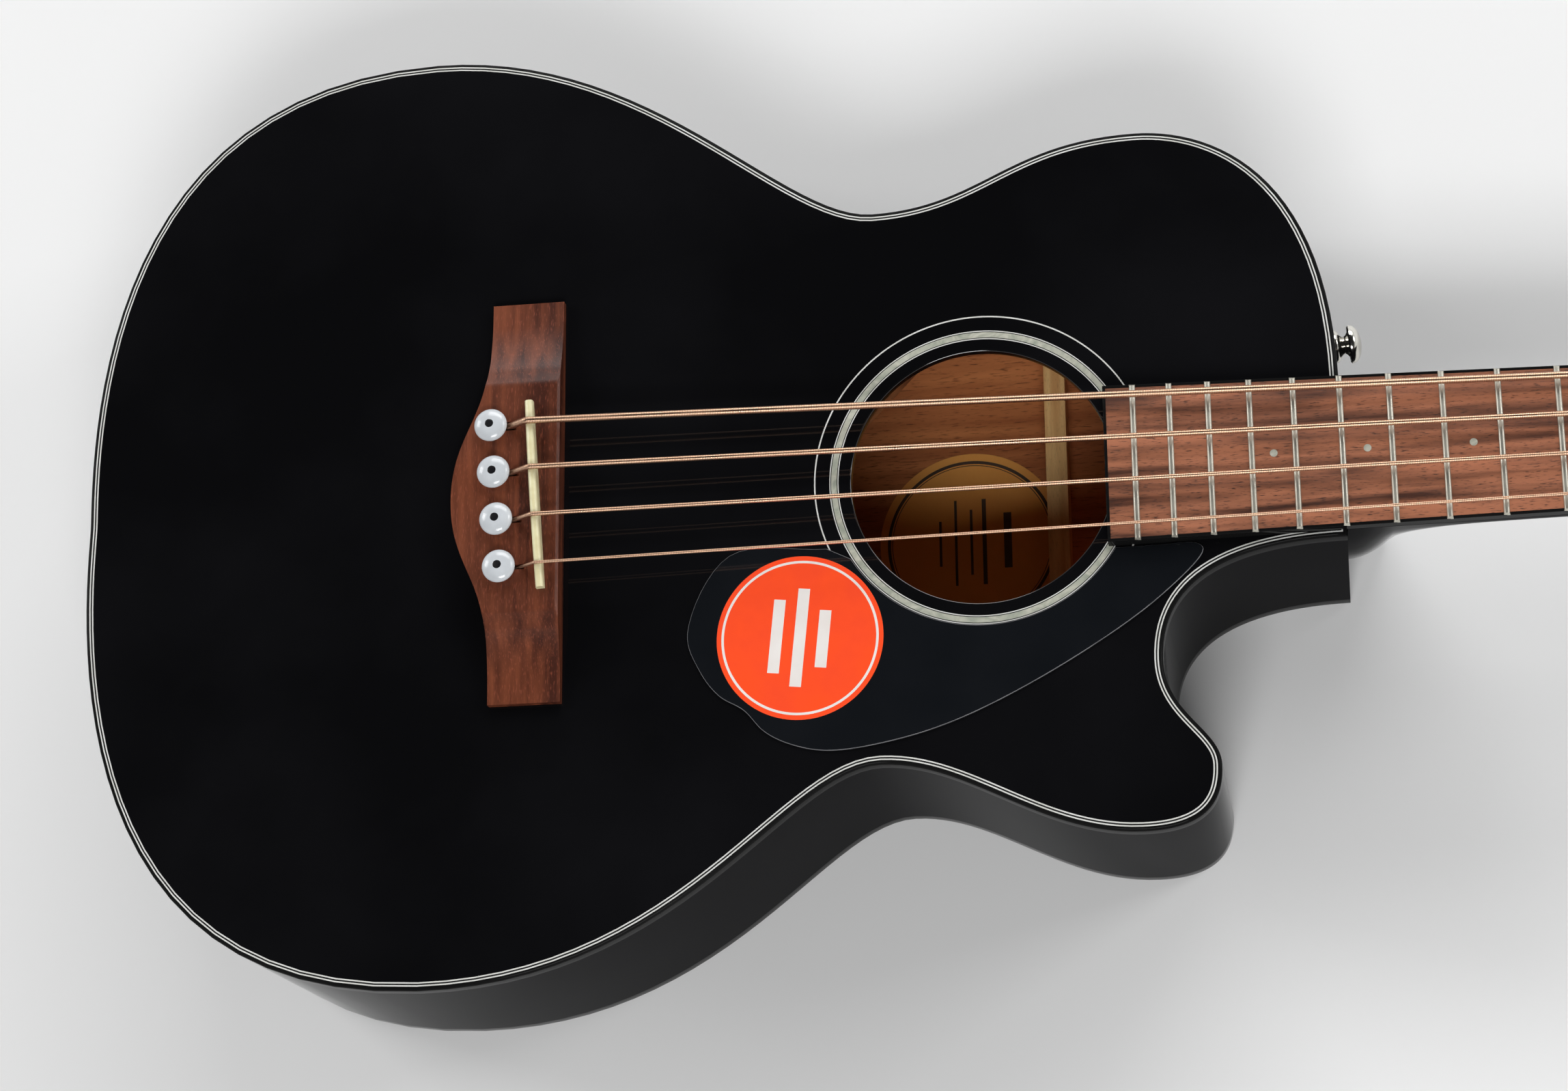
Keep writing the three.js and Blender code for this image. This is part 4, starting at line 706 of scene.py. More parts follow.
@dataclass(frozen=True)
class Plastic:
    """Moulded or cut plastic, bone or paint with a slight mottle."""

    name: str
    colour: Colour
    mottle: Colour
    gloss: float = 0.25
    spread: float = 0.08
    scale: float = 60.0
    depth: float = 0.00001
    coat: float = 0.0

    def build(self) -> Finish:
        """Makes the material."""
        recipe = Recipe(self.name, self.gloss, coat=self.coat)
        recipe.wear(self.gloss, self.gloss + self.spread, self.scale)
        recipe.relief(recipe.noise(self.scale * 12, detail=3), self.depth, 0.5)
        cloud = recipe.noise(self.scale, detail=5)
        return recipe.paint(recipe.tones(cloud, ((0.35, self.colour), (0.7, self.mottle))))


@dataclass(frozen=True)
class Shell:
    """Pearl: cells of shifting pale colour under a gloss."""

    name: str
    base: Colour = (0.4, 0.41, 0.34)
    bright: Colour = (0.53, 0.53, 0.45)
    tint: Colour = (0.31, 0.34, 0.28)
    gloss: Triple = (0.12, 0.18, 0.26)
    coat: float = 0.4
    flake_scale: float = 260
    wave_scale: float = 140
    wave_warp: float = 2.5

    def build(self) -> Finish:
        """Makes the material."""
        smooth, usual, dull = self.gloss
        recipe = Recipe(self.name, usual, coat=self.coat)
        flakes = recipe.cells(self.flake_scale)
        waves = recipe.noise(self.wave_scale, detail=4, warp=self.wave_warp)
        colour = recipe.tones(waves, ((0.35, self.tint), (0.5, self.base), (0.66, self.bright)))
        edge = recipe.within(flakes.outputs["Distance"], 0.25, 0.8, 0, 0.35)
        recipe.wear(smooth, dull, 200)
        return recipe.paint(recipe.over(colour, edge, self.bright))


@dataclass(frozen=True)
class Metal:
    """Plated or bare metal with fine scratches along one axis."""

    name: str
    colour: Colour
    shade: Colour
    along: Axis = Axis.Y
    gloss: float = 0.16
    spread: float = 0.14
    relief: float = 0.000012
    scratch_run: float = 0.04
    scratch_scale: float = 1600
    wear_scale: float = 90
    cloud_scale: float = 120

    def build(self) -> Finish:
        """Makes the material."""
        recipe = Recipe(self.name, self.gloss, metallic=1.0)
        scratch = recipe.noise(self.scratch_scale, self.along.run(self.scratch_run), 2)
        recipe.relief(scratch, self.relief, 0.5)
        recipe.wear(self.gloss, self.gloss + self.spread, self.wear_scale)
        cloud = recipe.noise(self.cloud_scale, detail=5)
        return recipe.paint(recipe.tones(cloud, ((0.35, self.colour), (0.72, self.shade))))


@dataclass(frozen=True)
class Wound:
    """Bronze winding laid round a string, its turns seen as fine ribs along x, with shade painted into the
    grooves between them.
    """

    name: str
    colour: Colour = (0.7, 0.46, 0.32)
    # Colour of the grooves between turns, painted shade in those recesses; it is also the colour of the
    # tarnish.
    shade: Colour = (0.34, 0.18, 0.105)
    turn_pitch: float = 0.0006
    waver: float = 0.4
    groove_depth: float = 0.00006
    tarnish_scale: float = 70
    tarnish_most: float = 0.25

    def build(self) -> Finish:
        """Makes the material."""
        recipe = Recipe(self.name, 0.3, metallic=1.0)
        ribs = recipe.nodes.new("ShaderNodeTexWave")
        ribs.bands_direction = "X"
        ribs.inputs["Scale"].default_value = math.pi / 10 / self.turn_pitch
        ribs.inputs["Distortion"].default_value = self.waver
        recipe.links.new(recipe.place, ribs.inputs["Vector"])
        groove = ribs.outputs["Fac"]
        cloud = recipe.noise(self.tarnish_scale, Axis.X.run(0.3), 4)
        tarnish = recipe.within(cloud, 0.4, 0.8, 0, self.tarnish_most)
        recipe.relief(groove, self.groove_depth, 0.42)
        recipe.wear(0.26, 0.44, 60)
        # The colour falls to the shade colour in the grooves between turns: painted shade.
        colour = recipe.tones(groove, ((0.0, self.shade), (0.55, self.colour)))
        return recipe.paint(recipe.over(colour, tarnish, self.shade))


@dataclass(frozen=True)
class Paper:
    """Paper or card with fibres and faint ageing."""

    name: str
    colour: Colour
    aged: Colour
    fibre_scale: float = 900
    fibre_run: float = 0.4
    fibre_depth: float = 0.00004
    age_scale: float = 35

    def build(self) -> Finish:
        """Makes the material."""
        recipe = Recipe(self.name, 0.75)
        fibres = recipe.noise(self.fibre_scale, Axis.Y.run(self.fibre_run), 4, 0.6)
        recipe.relief(fibres, self.fibre_depth, 0.5)
        recipe.wear(0.68, 0.85, 120)
        cloud = recipe.sum_of(recipe.noise(self.age_scale, detail=6), fibres, 0.25)
        return recipe.paint(recipe.tones(cloud, ((0.45, self.colour), (0.85, self.aged))))


def made_by(recipe: Lacquer | Wood | Plastic | Shell | Metal | Wound | Paper) -> Finish:
    """Field of a palette whose material its recipe makes."""
    return field(default_factory=recipe.build)


@dataclass
class Palette:
    """Every finish of the guitar, made once."""

    black_gloss: Finish = made_by(Lacquer("black_gloss"))
    edge_gloss: Finish = made_by(Lacquer(
        "edge_gloss", gloss=0.08, dull=0.14, bending=1.9))
    side_gloss: Finish = made_by(Lacquer(
        "side_gloss", bending=1.04))
    binding: Finish = made_by(Lacquer(
        "black_binding", (0.006, 0.006, 0.006), (0.012, 0.012, 0.012), 0.08, 0.14, bending=1.1))
    line_white: Finish = made_by(Plastic(
        "white_line", (0.72, 0.72, 0.7), (0.62, 0.62, 0.58), 0.2, 0.06, 90))
    line_black: Finish = made_by(Plastic(
        "black_line", (0.012, 0.012, 0.012), (0.02, 0.02, 0.02), 0.15, 0.06, 90))
    pearl: Finish = made_by(Shell("ring_pearl"))
    bridge_wood: Finish = made_by(Wood(
        "bridge_rosewood", (0.05, 0.013, 0.007), (0.19, 0.052, 0.023), Axis.Y, 260, Grain.FLECKED, 0.36,
        contrast=0.26, pore_tone=6.5, bending=1.4))
    board_wood: Finish = made_by(Wood(
        "board_rosewood", (0.065, 0.022, 0.012), (0.4, 0.15, 0.078), Axis.X, 230, roughness=0.5,
        bending=1.4))
    mahogany: Finish = made_by(Wood(
        "red_mahogany", (0.37, 0.115, 0.038), (0.64, 0.24, 0.082), Axis.X, 150, roughness=0.55,
        bending=1.4))
    # Mahogany at about half its brightness for the X braces: painted shade, so that the braces seen through
    # the soundhole stay as dark as the shadow there.
    painted_shade_mahogany: Finish = made_by(Wood(
        "painted_shade_mahogany", (0.14, 0.044, 0.015), (0.24, 0.09, 0.031), Axis.X, 150, roughness=0.6,
        bending=1.4))
    spruce: Finish = made_by(Wood(
        "pale_spruce", (0.52, 0.33, 0.15), (0.72, 0.52, 0.29), Axis.X, 330, Grain.FINE, 0.6))
    # Spruce brightened beyond the soundboard's for the braces: painted light, standing in for the light that
    # reaches them through the soundhole.
    painted_light_brace_spruce: Finish = made_by(Wood(
        "painted_light_brace_spruce", (0.7, 0.34, 0.12), (0.92, 0.6, 0.25), Axis.Y, 300, Grain.FINE, 0.6))
    maple: Finish = made_by(Wood(
        "pale_maple", (0.5, 0.31, 0.15), (0.68, 0.47, 0.26), Axis.Y, 120, Grain.FINE, 0.55))
    bone: Finish = made_by(Plastic(
        "cream_bone", (0.8, 0.75, 0.47), (0.7, 0.63, 0.36), 0.28, 0.1, 220, coat=0.2))
    pickguard: Finish = made_by(Plastic(
        "pickguard_black", (0.0055, 0.0065, 0.0082), (0.007, 0.008, 0.01), 0.06, 0.05, 40))
    # Grey for the pickguard's bevelled cut edge: a painted highlight along the bevel.
    painted_highlight_cut_edge: Finish = made_by(Plastic(
        "painted_highlight_cut_edge", (0.22, 0.22, 0.23), (0.13, 0.13, 0.14), 0.3, 0.1, 200))
    pin_white: Finish = made_by(Plastic(
        "pin_white", (0.62, 0.65, 0.68), (0.54, 0.57, 0.6), 0.16, 0.08, 150, coat=0.3))
    dot_black: Finish = made_by(Plastic(
        "pin_dot_black", (0.01, 0.01, 0.012), (0.02, 0.02, 0.02), 0.12, 0.05, 300))
    board_dot: Finish = made_by(Shell("board_dot"))
    fret_metal: Finish = made_by(Metal(
        "fret_nickel", (0.62, 0.6, 0.52), (0.5, 0.48, 0.41), Axis.Y, 0.4, 0.12))
    nickel: Finish = made_by(Metal(
        "nickel_plate", (0.74, 0.72, 0.66), (0.62, 0.6, 0.54), Axis.X, 0.12, 0.12))
    steel: Finish = made_by(Metal(
        "rod_steel", (0.42, 0.42, 0.43), (0.3, 0.3, 0.31), Axis.X, 0.3, 0.2))
    brass: Finish = made_by(Metal(
        "plain_brass", (0.7, 0.5, 0.22), (0.5, 0.34, 0.14), Axis.X, 0.24, 0.2))
    bronze: Finish = made_by(Wound("bronze_winding"))
    sticker_red: Finish = made_by(Plastic(
        "sticker_red", (1.0, 0.075, 0.01), (0.95, 0.062, 0.008), 0.4, 0.08, 80))
    sticker_white: Finish = made_by(Plastic(
        "sticker_white", (0.84, 0.8, 0.77), (0.78, 0.72, 0.68), 0.3, 0.08, 80))
    label_paper: Finish = made_by(Paper(
        "label_paper", (1.0, 0.48, 0.11), (0.95, 0.41, 0.085)))
    label_ink: Finish = made_by(Paper(
        "label_ink", (0.07, 0.045, 0.03), (0.11, 0.07, 0.045)))


@dataclass
class Maker:
    """Makes pieces, dresses them and ties them to the frame."""

    finishes: Palette

    def piece(
        self,
        name: str,
        data: MeshData,
        finish: Finish,
        place: Matrix = INSTRUMENT,
        body: str = ROOT,
        slot: str = "",
        stands_for: Sequence[str] = (),
        bevel: float = 0.0,
        smooth_deg: float = 32.0,
    ) -> bpy.types.Object:
        """Makes one piece of the guitar.

        Args:
            name: Name of the piece.
            data: Points and faces of closed meshes, in millimetres.
            finish: Its material.
            place: Matrix into the row frame.
            body: CAD body that it rides on.
            slot: Material slot of the record; not used.
            stands_for: CAD nodes that it replaces.
            bevel: Width of its broken edges, in millimetres.
            smooth_deg: Edges duller than this are shaded smooth.

        Returns:
            The object.
        """
        mesh = outward_mesh(name, moved(data, place))
        mesh.materials.append(finish)
        made = in_scene(name, mesh)
        if bevel:
            edge = made.modifiers.new("edge", "BEVEL")
            edge.width = bevel * METRES_PER_MM
            edge.segments = BEVEL_SEGMENTS
            edge.limit_method = "ANGLE"
            edge.angle_limit = math.radians(BEVEL_FROM_DEG)
        self.smooth(made, smooth_deg)
        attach(made, body)
        if stands_for:
            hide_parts(*stands_for)
        LOG.info("%s: %d faces, rides on %s", name, len(mesh.polygons), body)
        return made

    def smooth(self, made: bpy.types.Object, angle_deg: float) -> None:
        """Shades a piece smooth but for its sharp edges."""
        mesh = made.data
        mesh.polygons.foreach_set("use_smooth", [True] * len(mesh.polygons))
        form = bmesh.new()
        form.from_mesh(mesh)
        for edge in form.edges:
            sharp = len(edge.link_faces) == 2 and edge.calc_face_angle(0) > math.radians(angle_deg)
            edge.smooth = not sharp
        form.to_mesh(mesh)
        form.free()

    def dress(self, node: str, finish: Finish) -> None:
        """Gives a CAD node a finish in every material slot."""
        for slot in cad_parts[node].material_slots:
            slot.material = finish
        LOG.info("%s: dressed in %s", node, finish.name)


def carved(data: MeshData, cutters: Sequence[MeshData]) -> MeshData:
    """A closed mesh with others cut out of it.

    Args:
        data: The mesh to cut.
        cutters: Closed meshes to take away.

    Returns:
        Points and faces of what is left.
    """
    helpers = []
    for index, (points, faces) in enumerate([data, *cutters]):
        mesh = outward_mesh(f"carving_{index}", ([v * METRES_PER_MM for v in points], faces))
        helpers.append(in_scene(mesh.name, mesh))
    for cutter in helpers[1:]:
        cut = helpers[0].modifiers.new("cut", "BOOLEAN")
        cut.operation = "DIFFERENCE"
        cut.solver = "EXACT"
        cut.object = cutter
    seen = helpers[0].evaluated_get(bpy.context.evaluated_depsgraph_get())
    left = seen.to_mesh()
    points = [v.co / METRES_PER_MM for v in left.vertices]
    faces = [list(face.vertices) for face in left.polygons]
    seen.to_mesh_clear()
    for helper in helpers:
        mesh = helper.data
        bpy.data.objects.remove(helper)
        bpy.data.meshes.remove(mesh)
    return points, faces


@dataclass
class Body:
    """Black box of the body: soundboard, sides, arched back and the trim round their edges."""

    maker: Maker
    tail_x: float = -172.6
    lower_bout: Point = (-42.7, 177.2)
    waist: Point = (123.1, 103.5)
    upper_bout: Point = (219.9, 127.7)
    horn_bout: Point = (213.6, 131.2)
    horn_tip: Point = (241.5, 108.9)
    cutaway: Point = (222.8, 70.7)
    joint_halves: Point = (28, 29.8)
    step_count: int = 26
    strips: int = 36
    arch: float = 4.0
    flat_half: float = 18.0
    top_thickness: float = 3.0
    back_thickness: float = 2.8
    side_thickness: float = 2.2
    lacquer: float = 0.5
    binding_width: float = 1.5
    binding_height: float = 6.0
    binding_corner: float = 1.3
    purfling_lines: tuple[float, ...] = (1.5, 1.98, 2.54, 3.02)
    purfling_depth: float = 1.5
    soundhole_radius: float = 47.0
    hole_skin: float = 0.6
    hole_corner: float = 0.5
    shoulder_shares: Point = (0.8, 0.41)
    under_line: float = 0.05
    lip_drop: float = 0.1

    def outline(self) -> Loop:
        """Outer faces of the sides seen from above, counter-clockwise from the neck joint."""
        joint_bass = (SCALE.joint_x, self.joint_halves[0])
        joint_treble = (SCALE.joint_x, -self.joint_halves[1])
        tail = (self.tail_x, 0.0)
        treble_side = (self.lower_bout, self.waist, self.horn_bout, self.horn_tip, self.cutaway)
        low, waist, horn, tip, cutaway = ((x, -y) for x, y in treble_side)
        runs = (
            (joint_bass, "y", self.upper_bout, "x", self.shoulder_shares),
            (self.upper_bout, "x", self.waist, "x", (0.49, 0.42)),
            (self.waist, "x", self.lower_bout, "x", (0.2, 0.5)),
            (self.lower_bout, "x", tail, "y", (1.1, 0.1)),
            (tail, "y", low, "x", (0.1, 1.1)),
            (low, "x", waist, "x", (0.58, 0.21)),
            (waist, "x", horn, "x", (0.34, 0.4)),
            (horn, "x", tip, "y", (0.73, 0.64)),
            (tip, "y", cutaway, "y", (0.33, 0.52)),
            (cutaway, "y", joint_treble, "x", (0.66, 0.67)),
        )
        loop: Loop = []
        for run in runs:
            loop += stretch(*run, self.step_count)
        return [*loop, joint_treble]

    def back_height(self, x: float, y: float, level: float) -> float:
        """Height of a level over the outer face of the back, which is arched beyond its flat ridge."""
        beyond = max(abs(y) - self.flat_half, 0) / (self.lower_bout[1] - self.flat_half)
        rise = self.arch * beyond * beyond
        fall = SCALE.depth_fall
        return rise / math.cos(math.atan(fall)) + x * fall - SCALE.ridge_depth + level

    def wall_height(self, x: float, y: float, level: float) -> float:
        """Height of the wall's edges: level 1 under the top's binding, 0 over the back's."""
        if level > 0.5:
            return -self.binding_height
        return self.back_height(x, y, self.binding_height)

    def back_sheet(self, outline: Loop, low: float, high: float) -> MeshData:
        """A layer of the arched back between two levels.

        Args:
            outline: Its edge.
            low: Level of its outer face over the back's outer face.
            high: Level of its inner face.

        Returns:
            Points and faces of the closed mesh.
        """
        form = bmesh.new()
        corners = [form.verts.new((x, y, 0)) for x, y in outline]
        triangles = tessellate_polygon([[Vector((x, y, 0)) for x, y in outline]])
        for a, b, c in triangles:
            form.faces.new((corners[a], corners[b], corners[c]))
        half = self.lower_bout[1]
        for step in range(1, self.strips):
            y = half * (2 * step / self.strips - 1)
            everything = form.verts[:] + form.edges[:] + form.faces[:]
            bmesh.ops.bisect_plane(form, geom=everything, plane_co=(0, y, 0), plane_no=(0, 1, 0), dist=TINY)
        form.verts.index_update()
        form.verts.ensure_lookup_table()
        flat = [v.co.copy() for v in form.verts]
        count = len(flat)
        points = [
            Vector((v.x, v.y, self.back_height(v.x, v.y, level))) for level in (low, high) for v in flat]
        faces = []
        for face in form.faces:
            ring = [v.index for v in face.verts]
            faces.append(ring)
            faces.append([index + count for index in reversed(ring)])
        for edge in form.edges:
            if len(edge.link_faces) == 1:
                a, b = (v.index for v in edge.verts)
                faces.append([a, b, b + count, a + count])
        form.free()
        return points, faces

    def rounded(self, outward: float) -> list[Point]:
        """Section of a binding with its outer corner rounded.

        Args:
            outward: 1 where it faces up, -1 where it faces down.

        Returns:
            Section as (inset, level) points.
        """
        corner = self.binding_corner
        foot = -outward * self.binding_height
        arc = [(corner - corner * c, -outward * (corner - corner * s)) for c, s in quarter(CORNER_STEPS)]
        return [(0.0, foot), *arc, (self.binding_width, 0.0), (self.binding_width, foot)]

    def build(self) -> None:
        """Makes the pieces of the body."""
        finishes = self.maker.finishes
        outline = self.outline()
        hole_edge = circle(SCALE.soundhole_x, 0, self.soundhole_radius + self.hole_skin, RING_SIDES)
        hole = hole_edge[::-1]
        face = inset(outline, self.purfling_lines[-1])
        self.maker.piece(
            "soundboard_lacquer", plate(face, [hole], -self.lacquer, 0), finishes.black_gloss,
            slot="body_gloss", stands_for=["top"])
        core = plate(
            inset(outline, self.side_thickness), [hole], -self.top_thickness,
            -self.purfling_depth - self.under_line)
        self.maker.piece("soundboard_spruce", core, finishes.spruce, slot="spruce")
        skin, low = self.hole_skin, -self.top_thickness - self.lip_drop
        round_off = self.hole_corner
        corner = [(skin - round_off * (1 - s), -round_off * (1 - c)) for c, s in quarter(CORNER_STEPS)]
        lip = [(0, low), (0, 0), *corner, (skin, low)]
        self.maker.piece(
            "soundhole_edge", band(hole_edge, lip, flat_height), finishes.edge_gloss, slot="body_gloss",
            smooth_deg=60)
        for index, (start, end) in enumerate(zip(self.purfling_lines, self.purfling_lines[1:])):
            line = [(start, -self.purfling_depth), (start, 0.0), (end, 0.0), (end, -self.purfling_depth)]
            tone = finishes.line_black if index == 1 else finishes.line_white
            self.maker.piece(
                f"purfling_line_{index + 1}", band(outline, line, flat_height), tone, slot="purfling",
                stands_for=["purfling_top"] if index == 0 else [])
        self.maker.piece(
            "top_binding", band(outline, self.rounded(1), flat_height), finishes.binding, slot="binding",
            stands_for=["binding_top"], smooth_deg=50)
        coat, wood = (
            band(outline, [(start, 0), (start, 1), (end, 1), (end, 0)], self.wall_height)
            for start, end in ((0, self.lacquer), (self.lacquer, self.side_thickness)))
        self.maker.piece(
            "side_lacquer", coat, finishes.side_gloss, slot="body_gloss",
            stands_for=["side_bass", "side_treble"])
        self.maker.piece("side_mahogany", wood, finishes.mahogany, slot="mahogany")
        self.maker.piece(
            "back_binding", band(outline, self.rounded(-1), self.back_height), finishes.binding,
            slot="binding", stands_for=["binding_back"], smooth_deg=50)
        within = inset(outline, self.binding_width)
        self.maker.piece(
            "back_lacquer", self.back_sheet(within, 0, self.lacquer), finishes.black_gloss,
            slot="body_gloss", stands_for=["back"])
        self.maker.piece(
            "back_mahogany", self.back_sheet(within, self.lacquer, self.back_thickness), finishes.mahogany,
            slot="mahogany")


@dataclass
class Rosette:
    """Rings of pearl and line inlaid round the soundhole."""

    maker: Maker
    lines: tuple[float, ...] = (51.6, 51.95, 52.25, 54.25, 54.55, 54.9)
    outer_ring: Point = (60.0, 60.5)
    proud: float = 0.03
    depth: float = 0.4

    def ring(self, inner: float, outer: float) -> MeshData:
        """One flat ring of the rosette between two radii."""
        return washer((SCALE.soundhole_x, 0), (outer, inner), -self.depth, self.proud, RING_SIDES)

    def build(self) -> None:
        """Makes the rings."""
        finishes = self.maker.finishes
        kinds = (
            ("inner_white", finishes.line_white), ("inner_black", finishes.line_black),
            ("pearl", finishes.pearl), ("outer_black", finishes.line_black),
            ("outer_white", finishes.line_white),
        )
        for (name, tone), inner, outer in zip(kinds, self.lines, self.lines[1:]):
            self.maker.piece(
                f"rosette_{name}", self.ring(inner, outer), tone,
                slot="pearl" if name == "pearl" else "purfling",
                stands_for=["rosette_pearl_ring"] if name == "pearl" else [])
        self.maker.piece(
            "rosette_thin_line", self.ring(*self.outer_ring), finishes.line_white,
            slot="purfling", stands_for=["rosette_thin_ring"])


@dataclass
class Pickguard:
    """Thin black plate beside the soundhole, with a round sticker on it."""

    maker: Maker
    inner_radius: float = 55.25
    arc_deg: Point = (327.6, 210.9)
    edge_width: float = 0.16
    reach: float = 106.8
    thickness: float = 0.7
    seat: float = 0.05
    outer_shares: tuple[Point, ...] = (
        (-0.525, -0.226), (-0.857, -0.232), (-1, -0.493), (-0.958, -0.627), (-0.893, -0.714),
        (-0.811, -0.766), (-0.743, -0.841), (-0.66, -0.887), (-0.533, -0.916), (-0.313, -0.892),
        (-0.081, -0.825), (0.266, -0.656), (0.58, -0.449), (0.724, -0.299), (0.704, -0.277),
        (0.581, -0.276), (0.462, -0.2775),
    )
    sticker: Triple = (95.0, -56.4, 30.0)
    sticker_thickness: float = 0.12
    ring_width: float = 0.9
    ring_inset: float = 1.7
    bar_lengths: tuple[float, ...] = (27.0, 36.0, 21.0)
    bar_width: float = 4.2
    bar_pitch: float = 8.4
    bar_angle_deg: float = 84.0
    arc_steps: int = 60
    edge_steps: int = 8
    least_gap: float = 1e-6
    sticker_sides: int = 120
    sticker_bevel: float = 0.04
    print_thickness: float = 0.02

    def outer_edge(self) -> Loop:
        """Free edge of the plate, a curve with even speed through its points."""
        spots = [Vector((SCALE.soundhole_x + self.reach * x, self.reach * y)) for x, y in self.outer_shares]
        loop: Loop = []
        for index in range(len(spots) - 1):
            p1, p2 = spots[index], spots[index + 1]
            p0 = spots[index - 1] if index else p1 * 2 - p2
            p3 = spots[index + 2] if index + 2 < len(spots) else p2 * 2 - p1
            before, here, after = (
                max((b - a).length ** 0.5, self.least_gap) for a, b in ((p0, p1), (p1, p2), (p2, p3)))
            first = ((p1 - p0) / before - (p2 - p0) / (before + here) + (p2 - p1) / here) * here
            last = ((p2 - p1) / here - (p3 - p1) / (here + after) + (p3 - p2) / after) * here
            for step in range(self.edge_steps):
                weights = hermite(step / self.edge_steps)
                spot = p1 * weights[0] + first * weights[1] + p2 * weights[2] + last * weights[3]
                loop.append((spot.x, spot.y))
        return [*loop, (spots[-1].x, spots[-1].y)]

    def outline(self) -> Loop:
        """Edge of the plate: round the rosette, then its free edge."""
        start, end = (math.radians(a) for a in self.arc_deg)
        radius = self.inner_radius
        angles = [start + (end - start) * step / self.arc_steps for step in range(self.arc_steps + 1)]
        arc = [(SCALE.soundhole_x + radius * math.cos(a), radius * math.sin(a)) for a in angles]
        return [*arc, *self.outer_edge()]

    def bars(self, low: float, high: float) -> MeshData:
        """Plain bars across the sticker."""
        x, y, _ = self.sticker
        place = Matrix.Translation((x, y, 0)) @ Matrix.Rotation(math.radians(self.bar_angle_deg), 4, "Z")
        half = self.bar_width / 2
        made = []
        for index, length in enumerate(self.bar_lengths):
            middle = (1 - index) * self.bar_pitch
            bar = rectangle(-length / 2, middle - half, length / 2, middle + half)
            made.append(moved(plate(bar, [], low, high), place))
        return joined(*made)

    def build(self) -> None:
        """Makes the plate and its sticker."""
        finishes = self.maker.finishes
        seat, width = self.seat, self.edge_width
        top = seat + self.thickness
        outline = self.outline()
        self.maker.piece(
            "pickguard_plate", plate(inset(outline, width), [], seat, top), finishes.pickguard,
            slot="pickguard", stands_for=["pickguard"])
        cut = [(0, seat), (0, top - width), (width, top), (width, seat)]
        # The bevel band is grey: painted highlight along the cut edge.
        self.maker.piece(
            "pickguard_edge", band(outline, cut, flat_height), finishes.painted_highlight_cut_edge, slot="pickguard")
        x, y, radius = self.sticker
        face = top + self.sticker_thickness
        self.maker.piece(
            "sticker_disc", plate(circle(x, y, radius, self.sticker_sides), [], top, face),
            finishes.sticker_red, slot="pickguard", bevel=self.sticker_bevel)
        radii = (radius - self.ring_inset, radius - self.ring_inset - self.ring_width)
        high = face + self.print_thickness
        print_layer = joined(
            washer((x, y), radii, top, high, self.sticker_sides), self.bars(top, high))
        self.maker.piece("sticker_print", print_layer, finishes.sticker_white, slot="pickguard")


@dataclass
class StringRun:
    """Places that the bridge, the pins and the strings share."""

    spread_at_saddle: float = 53.6
    spread_at_nut: float = 30.8
    crown: float = 13.8
    slant_deg: float = 4.0
    diameters: tuple[float, ...] = (2.54, 2.03, 1.65, 1.14)
    saddle_thickness: float = 3.0
    inlay_gap: float = 0.15
    break_deg: float = 38.0
    pin_offset: float = 14.6
    flute_offset: float = 3.3
    slot_rise: float = 0.35

    def share(self, index: int) -> float:
        """Place of a string across the spread, from a half to minus a half."""
        return 0.5 - index / (len(STRING_NAMES) - 1)

    def saddle_point(self, index: int) -> Point:
        """Where a string crosses the saddle line."""
        y = self.spread_at_saddle * self.share(index)
        return (-y * math.tan(math.radians(self.slant_deg)), y)

    def pin_point(self, index: int) -> Point:
        """Centre of a string's pin."""
        x, y = self.saddle_point(index)
        return (x - self.pin_offset, y)

    def crown_at(self, y: float) -> float:
        """Height of the saddle's crown."""
        return self.crown + SCALE.camber(y)


